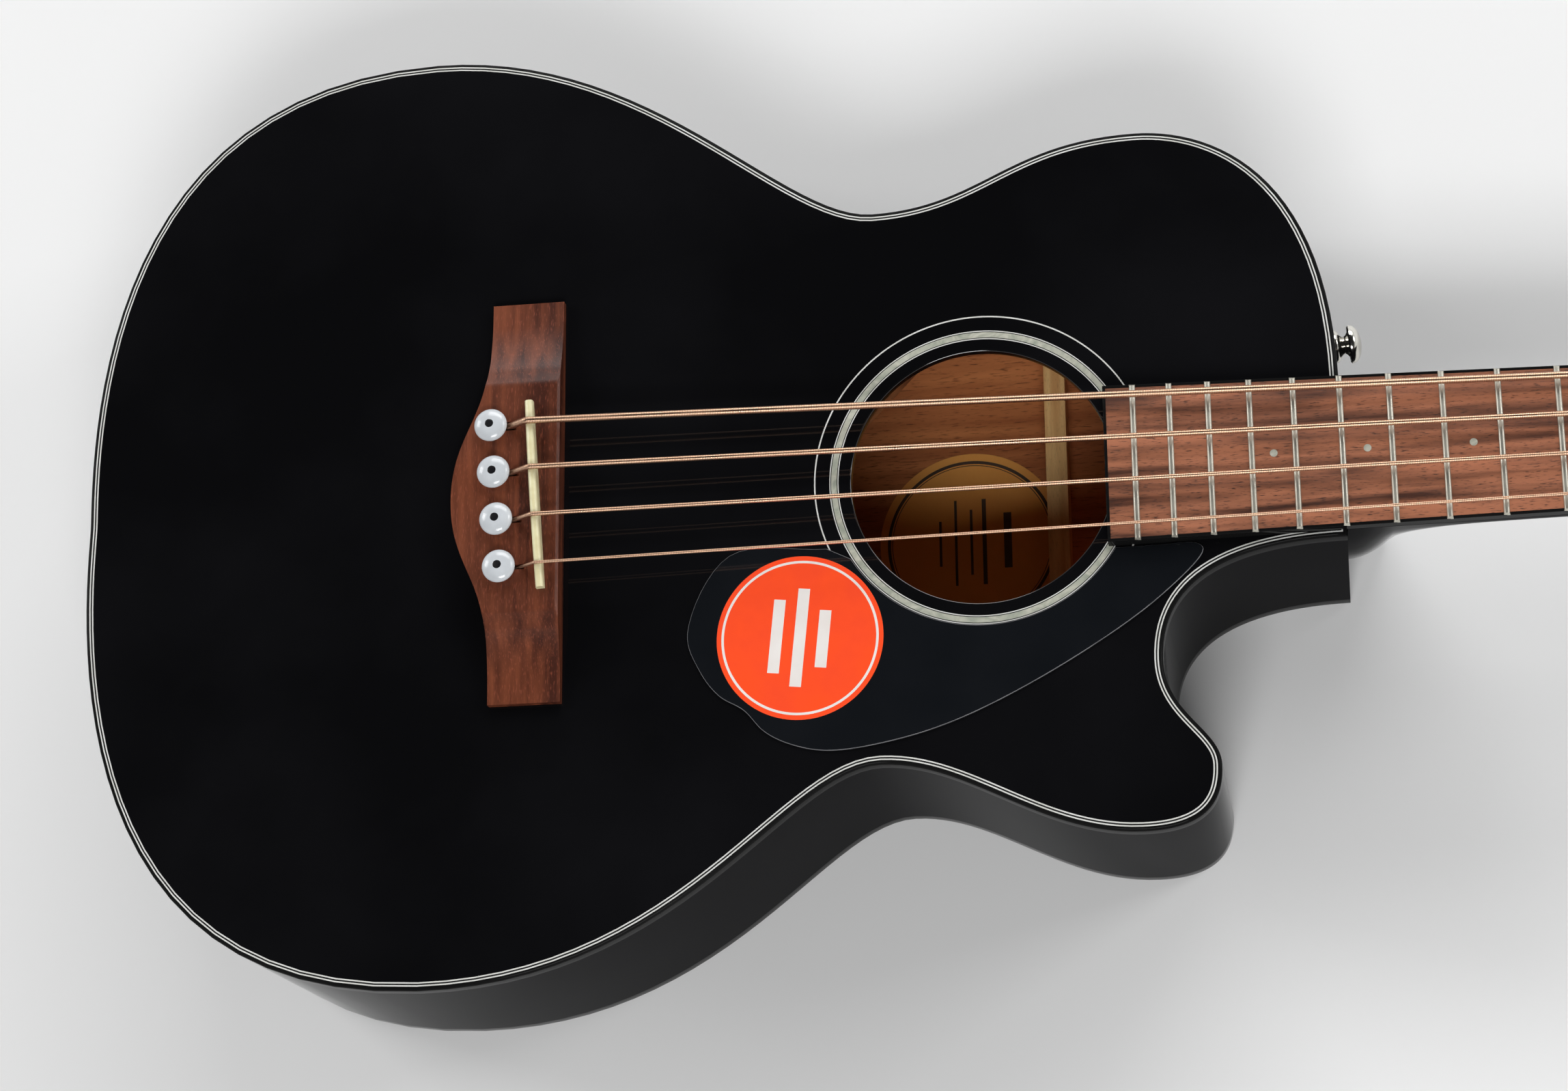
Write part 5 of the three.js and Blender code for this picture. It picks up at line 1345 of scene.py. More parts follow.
@dataclass
class Bridge:
    """Rosewood bridge with its saddle and its four pins."""

    maker: Maker
    run: StringRun
    front_x: float = 8.5
    back_x: float = -18.2
    belly_x: float = -31.6
    half: float = 76.0
    belly_half: float = 55.0
    scoop_half: float = 42.8
    height: float = 9.0
    tip_height: float = 3.2
    chamfer: float = 0.9
    belly_share: float = 0.45
    saddle_length: float = 71.0
    saddle_seat: float = 3.0
    pin_radius: float = 4.3
    pin_tip_radius: float = 3.4
    pin_length: float = 27.0
    head_radius: float = 6.1
    collar: Point = (4.9, 1.2)
    head_height: float = 3.6
    dot_radius: float = 1.6
    dot_sink: float = 1.0
    dot_edge: float = 0.1
    dot_crown: Point = (0.7, 0.06)
    seat: float = 0.02
    head_gap: float = 0.3
    head_rim: float = 1.0
    head_swell: Triple = (0.86, 0.96, 0.35)
    hole_play: float = 0.25
    hole_span: Point = (-1, 20)
    hole_sides: int = 40
    channel_play: float = 0.35
    channel_foot: Point = (3.5, 6.5)
    channel_top: Point = (9.5, 14.4)
    channel_over: float = 3.0
    flute_play: float = 0.3
    flute_end: Point = (20, -30)
    pin_sides: int = 56
    slices: int = 152
    belly_steps: int = 60
    saddle_steps: int = 48
    arch_steps: int = 12
    scoop_shares: tuple[Point, ...] = ((0, 0), (0.2, 0.16), (0.45, 0.45), (0.7, 0.76), (1, 1))

    @property
    def pin_seat(self) -> float:
        """Height of the underside of a pin's collar."""
        return self.height + self.head_gap

    def back_edge(self, y: float) -> float:
        """Station of the bridge's back edge, which swells to the belly."""
        if abs(y) >= self.belly_half:
            return self.back_x
        curve = stretch(
            (self.back_x, self.belly_half), "y", (self.belly_x, 0.0), "y",
            (self.belly_share, self.belly_share), self.belly_steps)
        curve.append((self.belly_x, 0.0))
        for (x1, y1), (x2, y2) in zip(curve, curve[1:]):
            if y2 <= abs(y) <= y1:
                return x1 + (x2 - x1) * (abs(y) - y1) / (y2 - y1)
        return self.belly_x

    def height_at(self, y: float) -> float:
        """Height of the bridge, which is scooped toward its tips."""
        along = max(abs(y) - self.scoop_half, 0) / (self.half - self.scoop_half)
        down = along
        for (a1, d1), (a2, d2) in zip(self.scoop_shares, self.scoop_shares[1:]):
            if a1 <= along <= a2:
                down = d1 + (d2 - d1) * (along - a1) / (a2 - a1)
        return self.height - (self.height - self.tip_height) * (1 - (1 - down) ** 2)

    def blank(self) -> MeshData:
        """The bridge before its holes are drilled."""
        rings = []
        edge = self.height - self.chamfer
        for step in range(self.slices + 1):
            y = -self.half + 2 * self.half * step / self.slices
            top, back = self.height_at(y), self.back_edge(y)
            cut = max(top - edge, 0)
            section = (
                (back, self.seat), (self.front_x, self.seat), (self.front_x, min(top, edge)),
                (self.front_x - cut, top), (back, top))
            rings.append([Vector((x, y, z)) for x, z in section])
        return loft(rings)

    def hole(self, index: int) -> MeshData:
        """Hole of one pin."""
        x, y = self.run.pin_point(index)
        radius = self.pin_radius + self.hole_play
        low, high = self.hole_span
        drilled = lathe([(0, low), (radius, low), (radius, high), (0, high)], self.hole_sides)
        return moved(drilled, Matrix.Translation((x, y, 0)))

    def channel(self, index: int) -> MeshData:
        """Ramp that one string rises through."""
        x, y = self.run.pin_point(index)
        width = self.run.diameters[index] / 2 + self.channel_play
        foot, down = self.channel_foot
        end, level = self.channel_top
        low, high = self.height - down, self.height + self.channel_over
        side = [
            (x, low), (x + foot, low), (x + end, self.height - self.run.crown + level), (x + end, high),
            (x, high)]
        return loft([[Vector((a, y + s * width, b)) for a, b in side] for s in (-1, 1)])

    def saddle(self) -> MeshData:
        """The saddle with its rounded crown."""
        shoulder = self.run.saddle_thickness / 2
        rings = []
        angles = [math.pi * step / self.arch_steps for step in range(self.arch_steps + 1)]
        for step in range(self.saddle_steps + 1):
            y = self.saddle_length * (0.5 - step / self.saddle_steps)
            top = self.run.crown_at(y) - shoulder
            section = [(shoulder * math.cos(a), top + shoulder * math.sin(a)) for a in angles]
            section += [(-shoulder, self.saddle_seat), (shoulder, self.saddle_seat)]
            rings.append([Vector((x, y, z)) for x, z in section])
        return loft(rings)

    def pin(self, index: int) -> MeshData:
        """One pin with its domed head and the flute for its string."""
        seat, tip = self.pin_seat, self.pin_tip_radius
        low = seat - self.pin_length
        collar, rise = self.collar
        rim = seat + rise
        head = self.head_radius
        inner, outer, lift = self.head_swell
        start, crown = rim + self.head_rim, self.head_height - self.head_rim
        dome = [(head * c, start + crown * s) for c, s in quarter(self.arch_steps)]
        profile = [
            (0, low), (tip / 2, low), (tip, low + tip / 2), (self.pin_radius, seat), (collar, seat),
            (collar, rim), (head * inner, rim), (head * outer, rim + lift), *dome[:-1], (0, dome[-1][1]),
        ]
        width = self.run.diameters[index] / 2 + self.flute_play
        end, bottom = self.flute_end
        flute = plate(
            rectangle(self.run.flute_offset - width, -width, end, width), [], bottom, rim)
        return carved(lathe(profile, self.pin_sides), [flute])

    def dot(self) -> MeshData:
        """Dark dot set in the crown of a pin."""
        top = self.pin_seat + self.collar[1] + self.head_height
        radius = self.dot_radius
        share, lift = self.dot_crown
        return lathe([
            (0, top - self.dot_sink), (radius, top - self.dot_sink), (radius, top - self.dot_edge),
            (radius * share, top + lift), (0, top + self.dot_edge)], self.hole_sides)

    def build(self) -> None:
        """Makes the bridge, the saddle and the pins."""
        finishes = self.maker.finishes
        strings = range(len(STRING_NAMES))
        cutters = [self.hole(index) for index in strings] + [self.channel(index) for index in strings]
        self.maker.piece(
            "bridge_block", carved(self.blank(), cutters), finishes.bridge_wood, slot="rosewood",
            stands_for=["bridge"], bevel=0.3, smooth_deg=22)
        slant = INSTRUMENT @ Matrix.Rotation(math.radians(self.run.slant_deg), 4, "Z")
        self.maker.piece(
            "saddle_bone", self.saddle(), finishes.bone, place=slant, slot="bone", stands_for=["saddle"])
        for index, name in enumerate(STRING_NAMES):
            x, y = self.run.pin_point(index)
            place = INSTRUMENT @ Matrix.Translation((x, y, 0))
            self.maker.piece(
                f"pin_{name}_white", self.pin(index), finishes.pin_white, place=place, body=f"pin_{name}",
                slot="pin_white", stands_for=[f"bridge_pin_{name}"], smooth_deg=40)
            self.maker.piece(
                f"pin_{name}_dot", self.dot(), finishes.dot_black, place=place, body=f"pin_{name}",
                slot="pickguard", smooth_deg=60)


@dataclass
class Strings:
    """Four bronze-wound strings from their ball ends to the posts."""

    maker: Maker
    run: StringRun
    posts: tuple[Point, ...] = ((62, 25), (130, 25), (130, -25), (62, -25))
    plate_depth: float = 6.3
    ball: Triple = (7.3, 3.9, 1.1)
    ball_radius: float = 3.1
    ball_half: float = 2.5
    bend_start: float = 2.0
    bend_reach: float = 6.4
    bend_handle: float = 2.8
    waist_radius: float = 4.4
    winding_gap: float = 0.55
    turns: tuple[float, ...] = (1.25, 1.5, 1.75, 2.0)
    slot_floor: float = 11.0
    slot_floor_gap: float = 0.7
    tail_bend: float = 0.35
    tail_drop: float = 4.0
    sides: int = 16
    ball_sides: int = 32
    ball_bevel: float = 0.3
    bend_steps: int = 10
    saddle_steps: int = 8
    span_steps: int = 40
    turn_steps: int = 48
    tail_steps: int = 8

    def at_bridge(self, index: int) -> list[Vector]:
        """Way from the ball end up through the bridge and over the saddle."""
        radius = self.run.diameters[index] / 2
        pin_x, y = self.run.pin_point(index)
        saddle_x = self.run.saddle_point(index)[0]
        turn = math.radians(self.run.break_deg)
        rise = self.run.saddle_thickness / 2 + self.run.inlay_gap + radius
        middle = self.run.crown_at(y) - self.run.saddle_thickness / 2

        def on_saddle(angle: float) -> Vector:
            """Centre of the string where it lies over the saddle's crown."""
            return Vector((saddle_x - rise * math.sin(angle), y, middle + rise * math.cos(angle)))

        touch = on_saddle(turn)
        flute = pin_x + self.run.flute_offset
        leave_x = pin_x + self.bend_reach
        leave_z = touch.z - (touch.x - leave_x) * math.tan(turn)
        handles = (
            (flute, self.bend_start), (flute, self.bend_start + self.bend_handle),
            (leave_x - self.bend_handle * math.cos(turn), leave_z - self.bend_handle * math.sin(turn)),
            (leave_x, leave_z))
        curve = [*bezier(*handles, self.bend_steps), (leave_x, leave_z)]
        bend = [Vector((x, y, z)) for x, z in curve]
        offset, drop, entry = self.ball
        start = [
            Vector((pin_x + offset, y, -self.plate_depth - drop)),
            Vector((flute, y, -self.plate_depth - entry))]
        over = [on_saddle(turn * (1 - step / self.saddle_steps)) for step in range(self.saddle_steps + 1)]
        return [*start, *bend, *over]

    def at_nut(self, index: int) -> Vector:
        """Centre of the string at the nut's front, in the neck frame."""
        y = self.run.spread_at_nut * self.run.share(index)
        height = SCALE.camber(y) + SCALE.fret_height + self.run.slot_rise + self.run.inlay_gap
        return Vector((SCALE.length, y, height + self.run.diameters[index] / 2))

    def winding(self, index: int) -> tuple[float, float, float, float]:
        """Way of a string round its post, mirrored to the bass side.

        Args:
            index: Number of the string.

        Returns:
            Radius, first angle, sweep and inward turn of the winding.
        """
        x, y = self.posts[index]
        side = math.copysign(1, y)
        around = self.waist_radius + self.winding_gap + self.run.diameters[index] / 2
        leaves = SCALE.head().inverted() @ (self.at_nut(index) + Vector((SCALE.nut_thickness, 0, 0)))
        reach = Vector((x - leaves.x, y * side - leaves.y * side))
        heading = math.atan2(reach.y, reach.x) - math.asin(around / reach.length)
        turn_in = math.acos(-self.tail_bend / (1 - self.tail_bend))
        return around, heading - math.pi / 2, 2 * math.pi * self.turns[index], turn_in

    def slot_angle(self, index: int) -> float:
        """Direction of the slot that a string's tail enters."""
        _, start, wound, turn_in = self.winding(index)
        return start + wound + turn_in - math.pi / 2

    def on_post(self, index: int) -> list[Vector]:
        """Windings and tail of the string, in the headstock frame."""
        x, y = self.posts[index]
        side = math.copysign(1, y)
        radius = self.run.diameters[index] / 2
        around, start, wound, turn_in = self.winding(index)
        climb = (2 * radius + self.winding_gap) / (2 * math.pi)
        tail = self.slot_floor + self.slot_floor_gap + radius
        low = tail - climb * (wound + turn_in)
        spots = []
        steps = round(self.turns[index] * self.turn_steps)
        for step in range(steps + 1):
            angle = wound * step / steps
            spots.append((
                around * math.cos(start + angle), around * math.sin(start + angle), low + climb * angle))
        bend = self.tail_bend * around
        last = start + wound
        for step in range(1, self.tail_steps + 1):
            angle = turn_in * step / self.tail_steps
            spots.append((
                (around - bend) * math.cos(last) + bend * math.cos(last + angle),
                (around - bend) * math.sin(last) + bend * math.sin(last + angle),
                low + climb * (wound + angle)))
        inward = self.slot_angle(index)
        for c, s in quarter(CORNER_STEPS):
            out = bend * (1 - s)
            spots.append((out * math.cos(inward), out * math.sin(inward), tail - bend * (1 - c)))
        spots.append((0, 0, tail - bend - self.tail_drop))
        return [Vector((a + x, b * side + y, c)) for a, b, c in spots]

    def path(self, index: int) -> list[Vector]:
        """Whole centreline of a string, in the instrument frame."""
        neck, head = SCALE.neck(), SCALE.neck() @ SCALE.head()
        front = neck @ self.at_nut(index)
        back = neck @ (self.at_nut(index) + Vector((SCALE.nut_thickness / 2, 0, 0)))
        bridge = self.at_bridge(index)
        span = [bridge[-1].lerp(front, step / self.span_steps) for step in range(1, self.span_steps + 1)]
        return [*bridge, *span, back, *(head @ spot for spot in self.on_post(index))]

    def build(self) -> None:
        """Makes the strings and their ball ends."""
        finishes = self.maker.finishes
        for index, name in enumerate(STRING_NAMES):
            path = self.path(index)
            body = tube(path, self.run.diameters[index] / 2, self.sides)
            self.maker.piece(
                f"string_{name}_wound", body, finishes.bronze, slot="bronze", stands_for=[f"string_{name}"],
                smooth_deg=60)
            r, half = self.ball_radius, self.ball_half
            barrel = lathe([(0, -half), (r, -half), (r, half), (0, half)], self.ball_sides)
            place = INSTRUMENT @ Matrix.Translation(path[0]) @ Matrix.Rotation(math.pi / 2, 4, "X")
            self.maker.piece(
                f"string_{name}_ball", barrel, finishes.brass, place=place, slot="brass",
                bevel=self.ball_bevel)


@dataclass
class Fingerboard:
    """Cambered rosewood board with its binding, frets and dots."""

    maker: Maker
    binding: float = 1.1
    fret_width: float = 2.2
    fret_sink: float = 0.3
    end_bevel: float = 0.6
    dot_radius: float = 1.35
    octave_dot_y: float = 9.0
    dots: tuple[int, ...] = (3, 5, 7, 9, 15, 17, 19)
    slices: int = 12
    fret_slices: int = 8
    fret_crown: tuple[Point, ...] = (
        (1, 0.0), (0.97, 0.3), (0.82, 0.62), (0.55, 0.88), (0.2, 1), (-0.2, 1), (-0.55, 0.88),
        (-0.82, 0.62), (-0.97, 0.3), (-1, 0.0))
    seat_share: float = 0.1
    dot_sides: int = 32
    dot_span: Point = (-0.5, 0.04)
    binding_bevel: float = 0.25

    def inner_half(self, x: float) -> float:
        """Half width of the rosewood between the bindings."""
        return SCALE.board_half(x) - self.binding

    def under(self, x: float) -> float:
        """Height of the underside, which rests on the body's face up to the joint."""
        if x >= SCALE.joint_x:
            return -SCALE.board_thickness
        share = (x - SCALE.board_end_x) / (SCALE.joint_x - SCALE.board_end_x)
        start = SCALE.gap * self.seat_share - SCALE.board_end_height
        return start + (-SCALE.board_thickness - start) * share

    def strip(
        self, stations: Sequence[float], left: Callable[[float], float], right: Callable[[float], float]
    ) -> MeshData:
        """A length of board between two edges.

        Args:
            stations: Places along the board.
            left: Edge on the treble side, by station.
            right: Edge on the bass side, by station.

        Returns:
            Points and faces of the closed mesh.
        """
        rings = []
        for x in stations:
            low, high = left(x), right(x)
            across = [low + (high - low) * k / self.slices for k in range(self.slices + 1)]
            crown = [Vector((x, y, SCALE.camber(y))) for y in across]
            base = self.under(x)
            rings.append([*crown, Vector((x, high, base)), Vector((x, low, base))])
        return loft(rings)

    def fret(self, x: float) -> MeshData:
        """One fret with its rounded crown and bevelled ends."""
        half, wide, last = SCALE.board_half(x), self.fret_width / 2, self.fret_slices
        rings = []
        for step in range(-last, last + 1):
            y = half * step / last
            face = SCALE.camber(y)
            ring = [Vector((x + side * wide, y, face - self.fret_sink)) for side in (-1, 1)]
            for across, up in self.fret_crown:
                edge = y - math.copysign(self.end_bevel * up, y) if abs(step) == last else y
                ring.append(Vector((x + wide * across, edge, face + SCALE.fret_height * up)))
            rings.append(ring)
        return loft(rings)

    def dot_spots(self) -> list[Point]:
        """Centres of the dots, midway between their frets."""
        spots = []
        octave = SCALE.frets_per_octave
        for number in (*self.dots, octave):
            x = (SCALE.fret_x(number) + SCALE.fret_x(number - 1)) / 2
            if number == octave:
                spots += [(x, self.octave_dot_y), (x, -self.octave_dot_y)]
            else:
                spots.append((x, 0.0))
        return spots

    def build(self) -> None:
        """Makes the board and what is set in it."""
        finishes = self.maker.finishes
        start, end = SCALE.board_end_x, SCALE.length - SCALE.gap
        inner = start + self.binding
        core = self.strip([inner, SCALE.joint_x, end], lambda x: -self.inner_half(x), self.inner_half)
        self.maker.piece(
            "fingerboard_rosewood", core, finishes.board_wood, place=NECK, slot="rosewood",
            stands_for=["fretboard"], smooth_deg=20)
        stations = [start, SCALE.joint_x, end]
        strips = {
            "treble": self.strip(stations, lambda x: -SCALE.board_half(x), lambda x: -self.inner_half(x)),
            "bass": self.strip(stations, self.inner_half, SCALE.board_half),
            "end": self.strip([start, inner], lambda x: -self.inner_half(x), self.inner_half),
        }
        for name, data in strips.items():
            self.maker.piece(
                f"fingerboard_binding_{name}", data, finishes.binding, place=NECK, slot="binding",
                bevel=self.binding_bevel, smooth_deg=20)
        frets = joined(*(self.fret(SCALE.fret_x(number)) for number in range(1, SCALE.fret_count + 1)))
        self.maker.piece("frets", frets, finishes.fret_metal, place=NECK, slot="nickel", smooth_deg=50)
        low, proud = self.dot_span
        dots = joined(*(
            plate(circle(x, y, self.dot_radius, self.dot_sides), [], low, SCALE.camber(y) + proud)
            for x, y in self.dot_spots()))
        self.maker.piece("fingerboard_dots", dots, finishes.board_dot, place=NECK, slot="pearl")


@dataclass
class Neck:
    """Black neck shaft with its heel, and the headstock."""

    maker: Maker
    depth_at_nut: float = 21.0
    depth_at_heel: float = 24.0
    heel_length: float = 62.0
    foot_length: float = 16.0
    heel_power: float = 3.0
    cap_thickness: float = 2.4
    cap_clearance: float = 1.2
    cap_steps: int = 12
    throat: float = 26.0
    head_thickness: float = 15.0
    head_shoulder: Point = (36.0, 39.0)
    head_end: Point = (186.0, 43.0)
    head_crown: float = 8.0
    depth_shares: tuple[float, ...] = (0, 0.2, 0.42, 0.62, 0.8, 0.93, 1)
    shaft_shares: tuple[float, ...] = (1, 0.985, 0.92, 0.8, 0.6, 0.36, 0.13)
    heel_shares: tuple[float, ...] = (1, 0.995, 0.95, 0.83, 0.68, 0.52, 0.41)
    toe_shares: tuple[float, ...] = (1, 0.9, 0.74, 0.58, 0.44, 0.32, 0.22)
    slices: int = 20
    foot_steps: int = 6
    shaft_steps: int = 28
    throat_steps: int = 4
    head_steps: int = 20
    throat_shares: Point = (0.55, 0.4)
    tip_shares: Point = (0.35, 0.5)
    face_gap: float = 0.1
    cap_gap_share: float = 0.2
    head_bevel: float = 0.8
    cap_bevel: float = 0.5

    @property
    def start(self) -> float:
        """Station of the heel's face."""
        return SCALE.joint_x + SCALE.gap

    def floor_depth(self, x: float) -> float:
        """Depth from the board's ridge to the plane of the back."""
        fall = (x - SCALE.board_end_x) * math.tan(math.radians(SCALE.neck_fall_deg))
        ridge = SCALE.board_end_height - fall
        return ridge + SCALE.ridge_depth - SCALE.depth_fall * x

    @property
    def heel_depth(self) -> float:
        """Depth of the heel's foot."""
        floor = self.floor_depth(self.start + self.foot_length)
        return floor - self.cap_clearance - self.cap_thickness - SCALE.gap

    def heel_share(self, x: float, place: float) -> float:
        """Width of the heel, narrowing from the body to its toe.

        Args:
            x: Station.
            place: How far down the heel, from 0 at the board to 1 at the cap.

        Returns:
            The width as a share of the board's.
        """
        along = min(max((x - self.start) / self.foot_length, 0), 1) ** 2
        return share_at(self.heel_shares, place) * (1 - along) + share_at(self.toe_shares, place) * along

    def section(self, x: float, depth: float, heel: float) -> list[Vector]:
        """Outline of the neck at a station.

        Args:
            x: Station.
            depth: Depth below the board's ridge.
            heel: How far the section is the heel's, from 0 to 1.

        Returns:
            The outline in the neck frame.
        """
        half = SCALE.board_half(min(x, SCALE.length))
        height = depth + SCALE.neck_top
        past = max(x - SCALE.length - SCALE.nut_thickness - SCALE.gap, 0)
        fall = past * math.tan(math.radians(SCALE.head_fall_deg))
        face = SCALE.neck_top - fall - (self.face_gap if past else 0)
        side = []
        for step in range(self.slices + 1):
            place = step / self.slices
            down = share_at(self.depth_shares, place)
            width = share_at(self.shaft_shares, place) * (1 - heel) + self.heel_share(x, place) * heel
            side.append((half * width, min(SCALE.neck_top - height * down, face)))
        left = [Vector((x, y, z)) for y, z in side]
        right = [Vector((x, -y, z)) for y, z in reversed(side)]
        return [*left, *right]

    def shaft(self) -> MeshData:
        """Shaft and heel, from the body's face to the throat of the headstock."""
        rings = [
            self.section(self.start + self.foot_length * step / self.foot_steps, self.heel_depth, 1)
            for step in range(self.foot_steps)]
        foot = self.start + self.foot_length
        run = self.heel_length - self.foot_length
        for step in range(self.shaft_steps + 1):
            place = step / self.shaft_steps
            x = foot + run * place
            share = (x - self.start) / (SCALE.length - self.start)
            depth = self.depth_at_heel + (self.depth_at_nut - self.depth_at_heel) * share
            heel = (1 - place) ** self.heel_power
            rings.append(self.section(x, depth + (self.heel_depth - depth) * heel, heel))
        past_nut = SCALE.length + SCALE.nut_thickness
        end = past_nut + self.throat
        rings.append(self.section(SCALE.length, self.depth_at_nut, 0))
        for step in range(self.throat_steps + 1):
            x = past_nut + SCALE.gap + self.throat * step / self.throat_steps
            rings.append(self.section(min(x, end), self.depth_at_nut, 0))
        return loft(rings)

    def head_outline(self) -> Loop:
        """Edge of the headstock in its own frame."""
        throat = (0.0, SCALE.board_half(SCALE.length))
        tip = (self.head_end[0] + self.head_crown, 0.0)
        half = [
            *stretch(throat, "x", self.head_shoulder, "x", self.throat_shares, self.head_steps),
            self.head_shoulder, *stretch(self.head_end, "x", tip, "y", self.tip_shares, self.head_steps),
        ]
        return [*((x, -y) for x, y in half), tip, *reversed(half)]

    def heel_cap(self) -> MeshData:
        """Cap on the heel's foot."""
        side = []
        for step in range(self.cap_steps + 1):
            x = self.start + self.foot_length * step / self.cap_steps
            side.append((x, SCALE.board_half(x) * self.heel_share(x, 1)))
        top = -self.heel_depth - SCALE.gap * self.cap_gap_share
        return plate([*((x, -y) for x, y in side), *reversed(side)], [], top - self.cap_thickness, top)

    def build(self) -> None:
        """Makes the neck, its heel cap and the headstock."""
        finishes = self.maker.finishes
        self.maker.piece(
            "neck_shaft", self.shaft(), finishes.side_gloss, place=NECK, slot="neck_gloss",
            stands_for=["neck"], smooth_deg=50)
        self.maker.piece(
            "headstock", plate(self.head_outline(), [], -self.head_thickness, 0), finishes.black_gloss,
            place=HEAD, slot="neck_gloss", bevel=self.head_bevel, smooth_deg=25)
        self.maker.piece(
            "heel_cap_black", self.heel_cap(), finishes.binding, place=NECK, slot="binding",
            stands_for=["heel_cap"], bevel=self.cap_bevel, smooth_deg=25)


@dataclass
class Tuners:
    """Open-gear tuners: turned posts with their wheels, bushings, knobs and the screws of the plates."""

    maker: Maker
    strings: Strings
    post_section: tuple[Point, ...] = (
        (0, -24.95), (3.4, -24.95), (3.4, -23.35), (4.8, -23.35), (4.8, 3.2), (4.5, 3.76), (4.4, 4.32),
        (4.4, 14.0), (4.7, 14.48), (5.6, 15.28), (6.0, 15.6))
    post_rim: Triple = (6.0, 19.0, 0.8)
    bore: Point = (2.1, 13.0)
    slot_depth: float = 8.0
    slot_side: float = 0.7
    turned_sides: int = 48
    tooth_count: int = 20
    tooth_slant: float = 0.01389
    tooth_section: tuple[Point, ...] = (
        (-0.3, 7.85), (-0.18, 8.75), (-0.1, 9.35), (0.1, 9.35), (0.18, 8.75), (0.3, 7.85))
    wheel_levels: tuple[Point, ...] = ((-2.3, 0.25), (-2.05, 0.0), (2.05, 0.0), (2.3, 0.25))
    flange_radius: float = 8.6
    flange_section: tuple[Point, ...] = (
        (0.0, 0.3), (0.0, 1.2), (0.15, 1.6), (0.5, 1.85), (1.0, 1.9), (3.2, 1.9), (3.55, 1.65), (3.55, -10.7),
        (2.35, -10.7), (2.35, 0.3))
    worm_distance: float = 12.62
    gear_middle: float = -21.05
    knob_start: float = 29.0
    knob_length: float = 22.0
    knob_half: float = 12.5
    knob_thickness: float = 4.4
    knob_power: float = 2.6
    knob_steps: int = 64
    knob_edge: float = 0.16
    knob_levels: tuple[Point, ...] = (
        (-1, 0.72), (-0.8, 0.9), (-0.45, 0.985), (0, 1), (0.45, 0.985), (0.8, 0.9), (1, 0.72))
    skin: float = 0.15
    screw_spots: tuple[Point, ...] = ((-18, 8.5), (-18, -8.5), (5.5, 8.5), (5.5, -8.5))
    plate_back: float = -16.5
    screw_radius: float = 2.3
    screw_sides: int = 28
    screw_dome: tuple[Point, ...] = ((0, 0.2), (1, 0.2), (1, -0.3), (0.8, -0.9), (0.45, -1.25), (0, -1.4))
    screw_slot: Triple = (0.35, -2, -0.7)
    over: float = 1.0
    bore_over: float = 2.0

    def knob(self) -> MeshData:
        """Rounded knob in the frame of its post, for the bass side."""
        bend = 2 / self.knob_power
        rings = []
        middle = self.knob_start + self.knob_length / 2
        for level, share in self.knob_levels:
            ring = []
            out = 1 - (1 - share) * self.knob_edge
            z = (self.knob_thickness / 2 + self.skin) * level
            for c, s in circle(0, 0, 1, self.knob_steps):
                x = (self.knob_half + self.skin) * out * math.copysign(abs(c) ** bend, c)
                y = (self.knob_length / 2 + self.skin) * out * math.copysign(abs(s) ** bend, s)
                ring.append(Vector((x - self.worm_distance, middle + y, z + self.gear_middle)))
            rings.append(ring)
        return loft(rings)

    def post(self, index: int) -> MeshData:
        """Turned and slotted post with its slant-toothed wheel, for the bass side."""
        rim, top, fillet = self.post_rim
        edge = [(rim - fillet * (1 - c), top - fillet * (1 - s)) for c, s in quarter(CORNER_STEPS)]
        shaft = lathe([*self.post_section, *edge, (0, top)], self.turned_sides)
        half = self.strings.run.diameters[index] / 2 + self.slot_side
        across = rim + self.over
        cut = plate(
            rectangle(-across, -half, across, half), [], top - self.slot_depth, top + self.over)
        bore, depth = self.bore
        low, high = top - depth, top + self.bore_over
        hole = lathe([(0, low), (bore, low), (bore, high), (0, high)], self.turned_sides)
        slot = moved(cut, Matrix.Rotation(self.strings.slot_angle(index), 4, "Z"))
        return joined(carved(shaft, [slot, hole]), self.wheel())

    def wheel(self) -> MeshData:
        """Wheel whose teeth lean with the worm's thread."""
        pitch = 2 * math.pi / self.tooth_count
        rings = []
        for level, worn in self.wheel_levels:
            ring = []
            for tooth in range(self.tooth_count):
                for share, radius in self.tooth_section:
                    angle = math.pi + pitch * (tooth + share) - self.tooth_slant * level
                    x, y = (radius - worn) * math.cos(angle), (radius - worn) * math.sin(angle)
                    ring.append(Vector((x, y, self.gear_middle + level)))
            rings.append(ring)
        return loft(rings)

    def screw(self, x: float, y: float) -> MeshData:
        """Domed head of one wood screw with its slot, under the plate."""
        radius = self.screw_radius
        dome = lathe([(share * radius, level) for share, level in self.screw_dome], self.screw_sides)
        half, low, high = self.screw_slot
        slot = plate(rectangle(-radius, -half, radius, half), [], low, high)
        return moved(carved(dome, [slot]), Matrix.Translation((x, y, self.plate_back)))

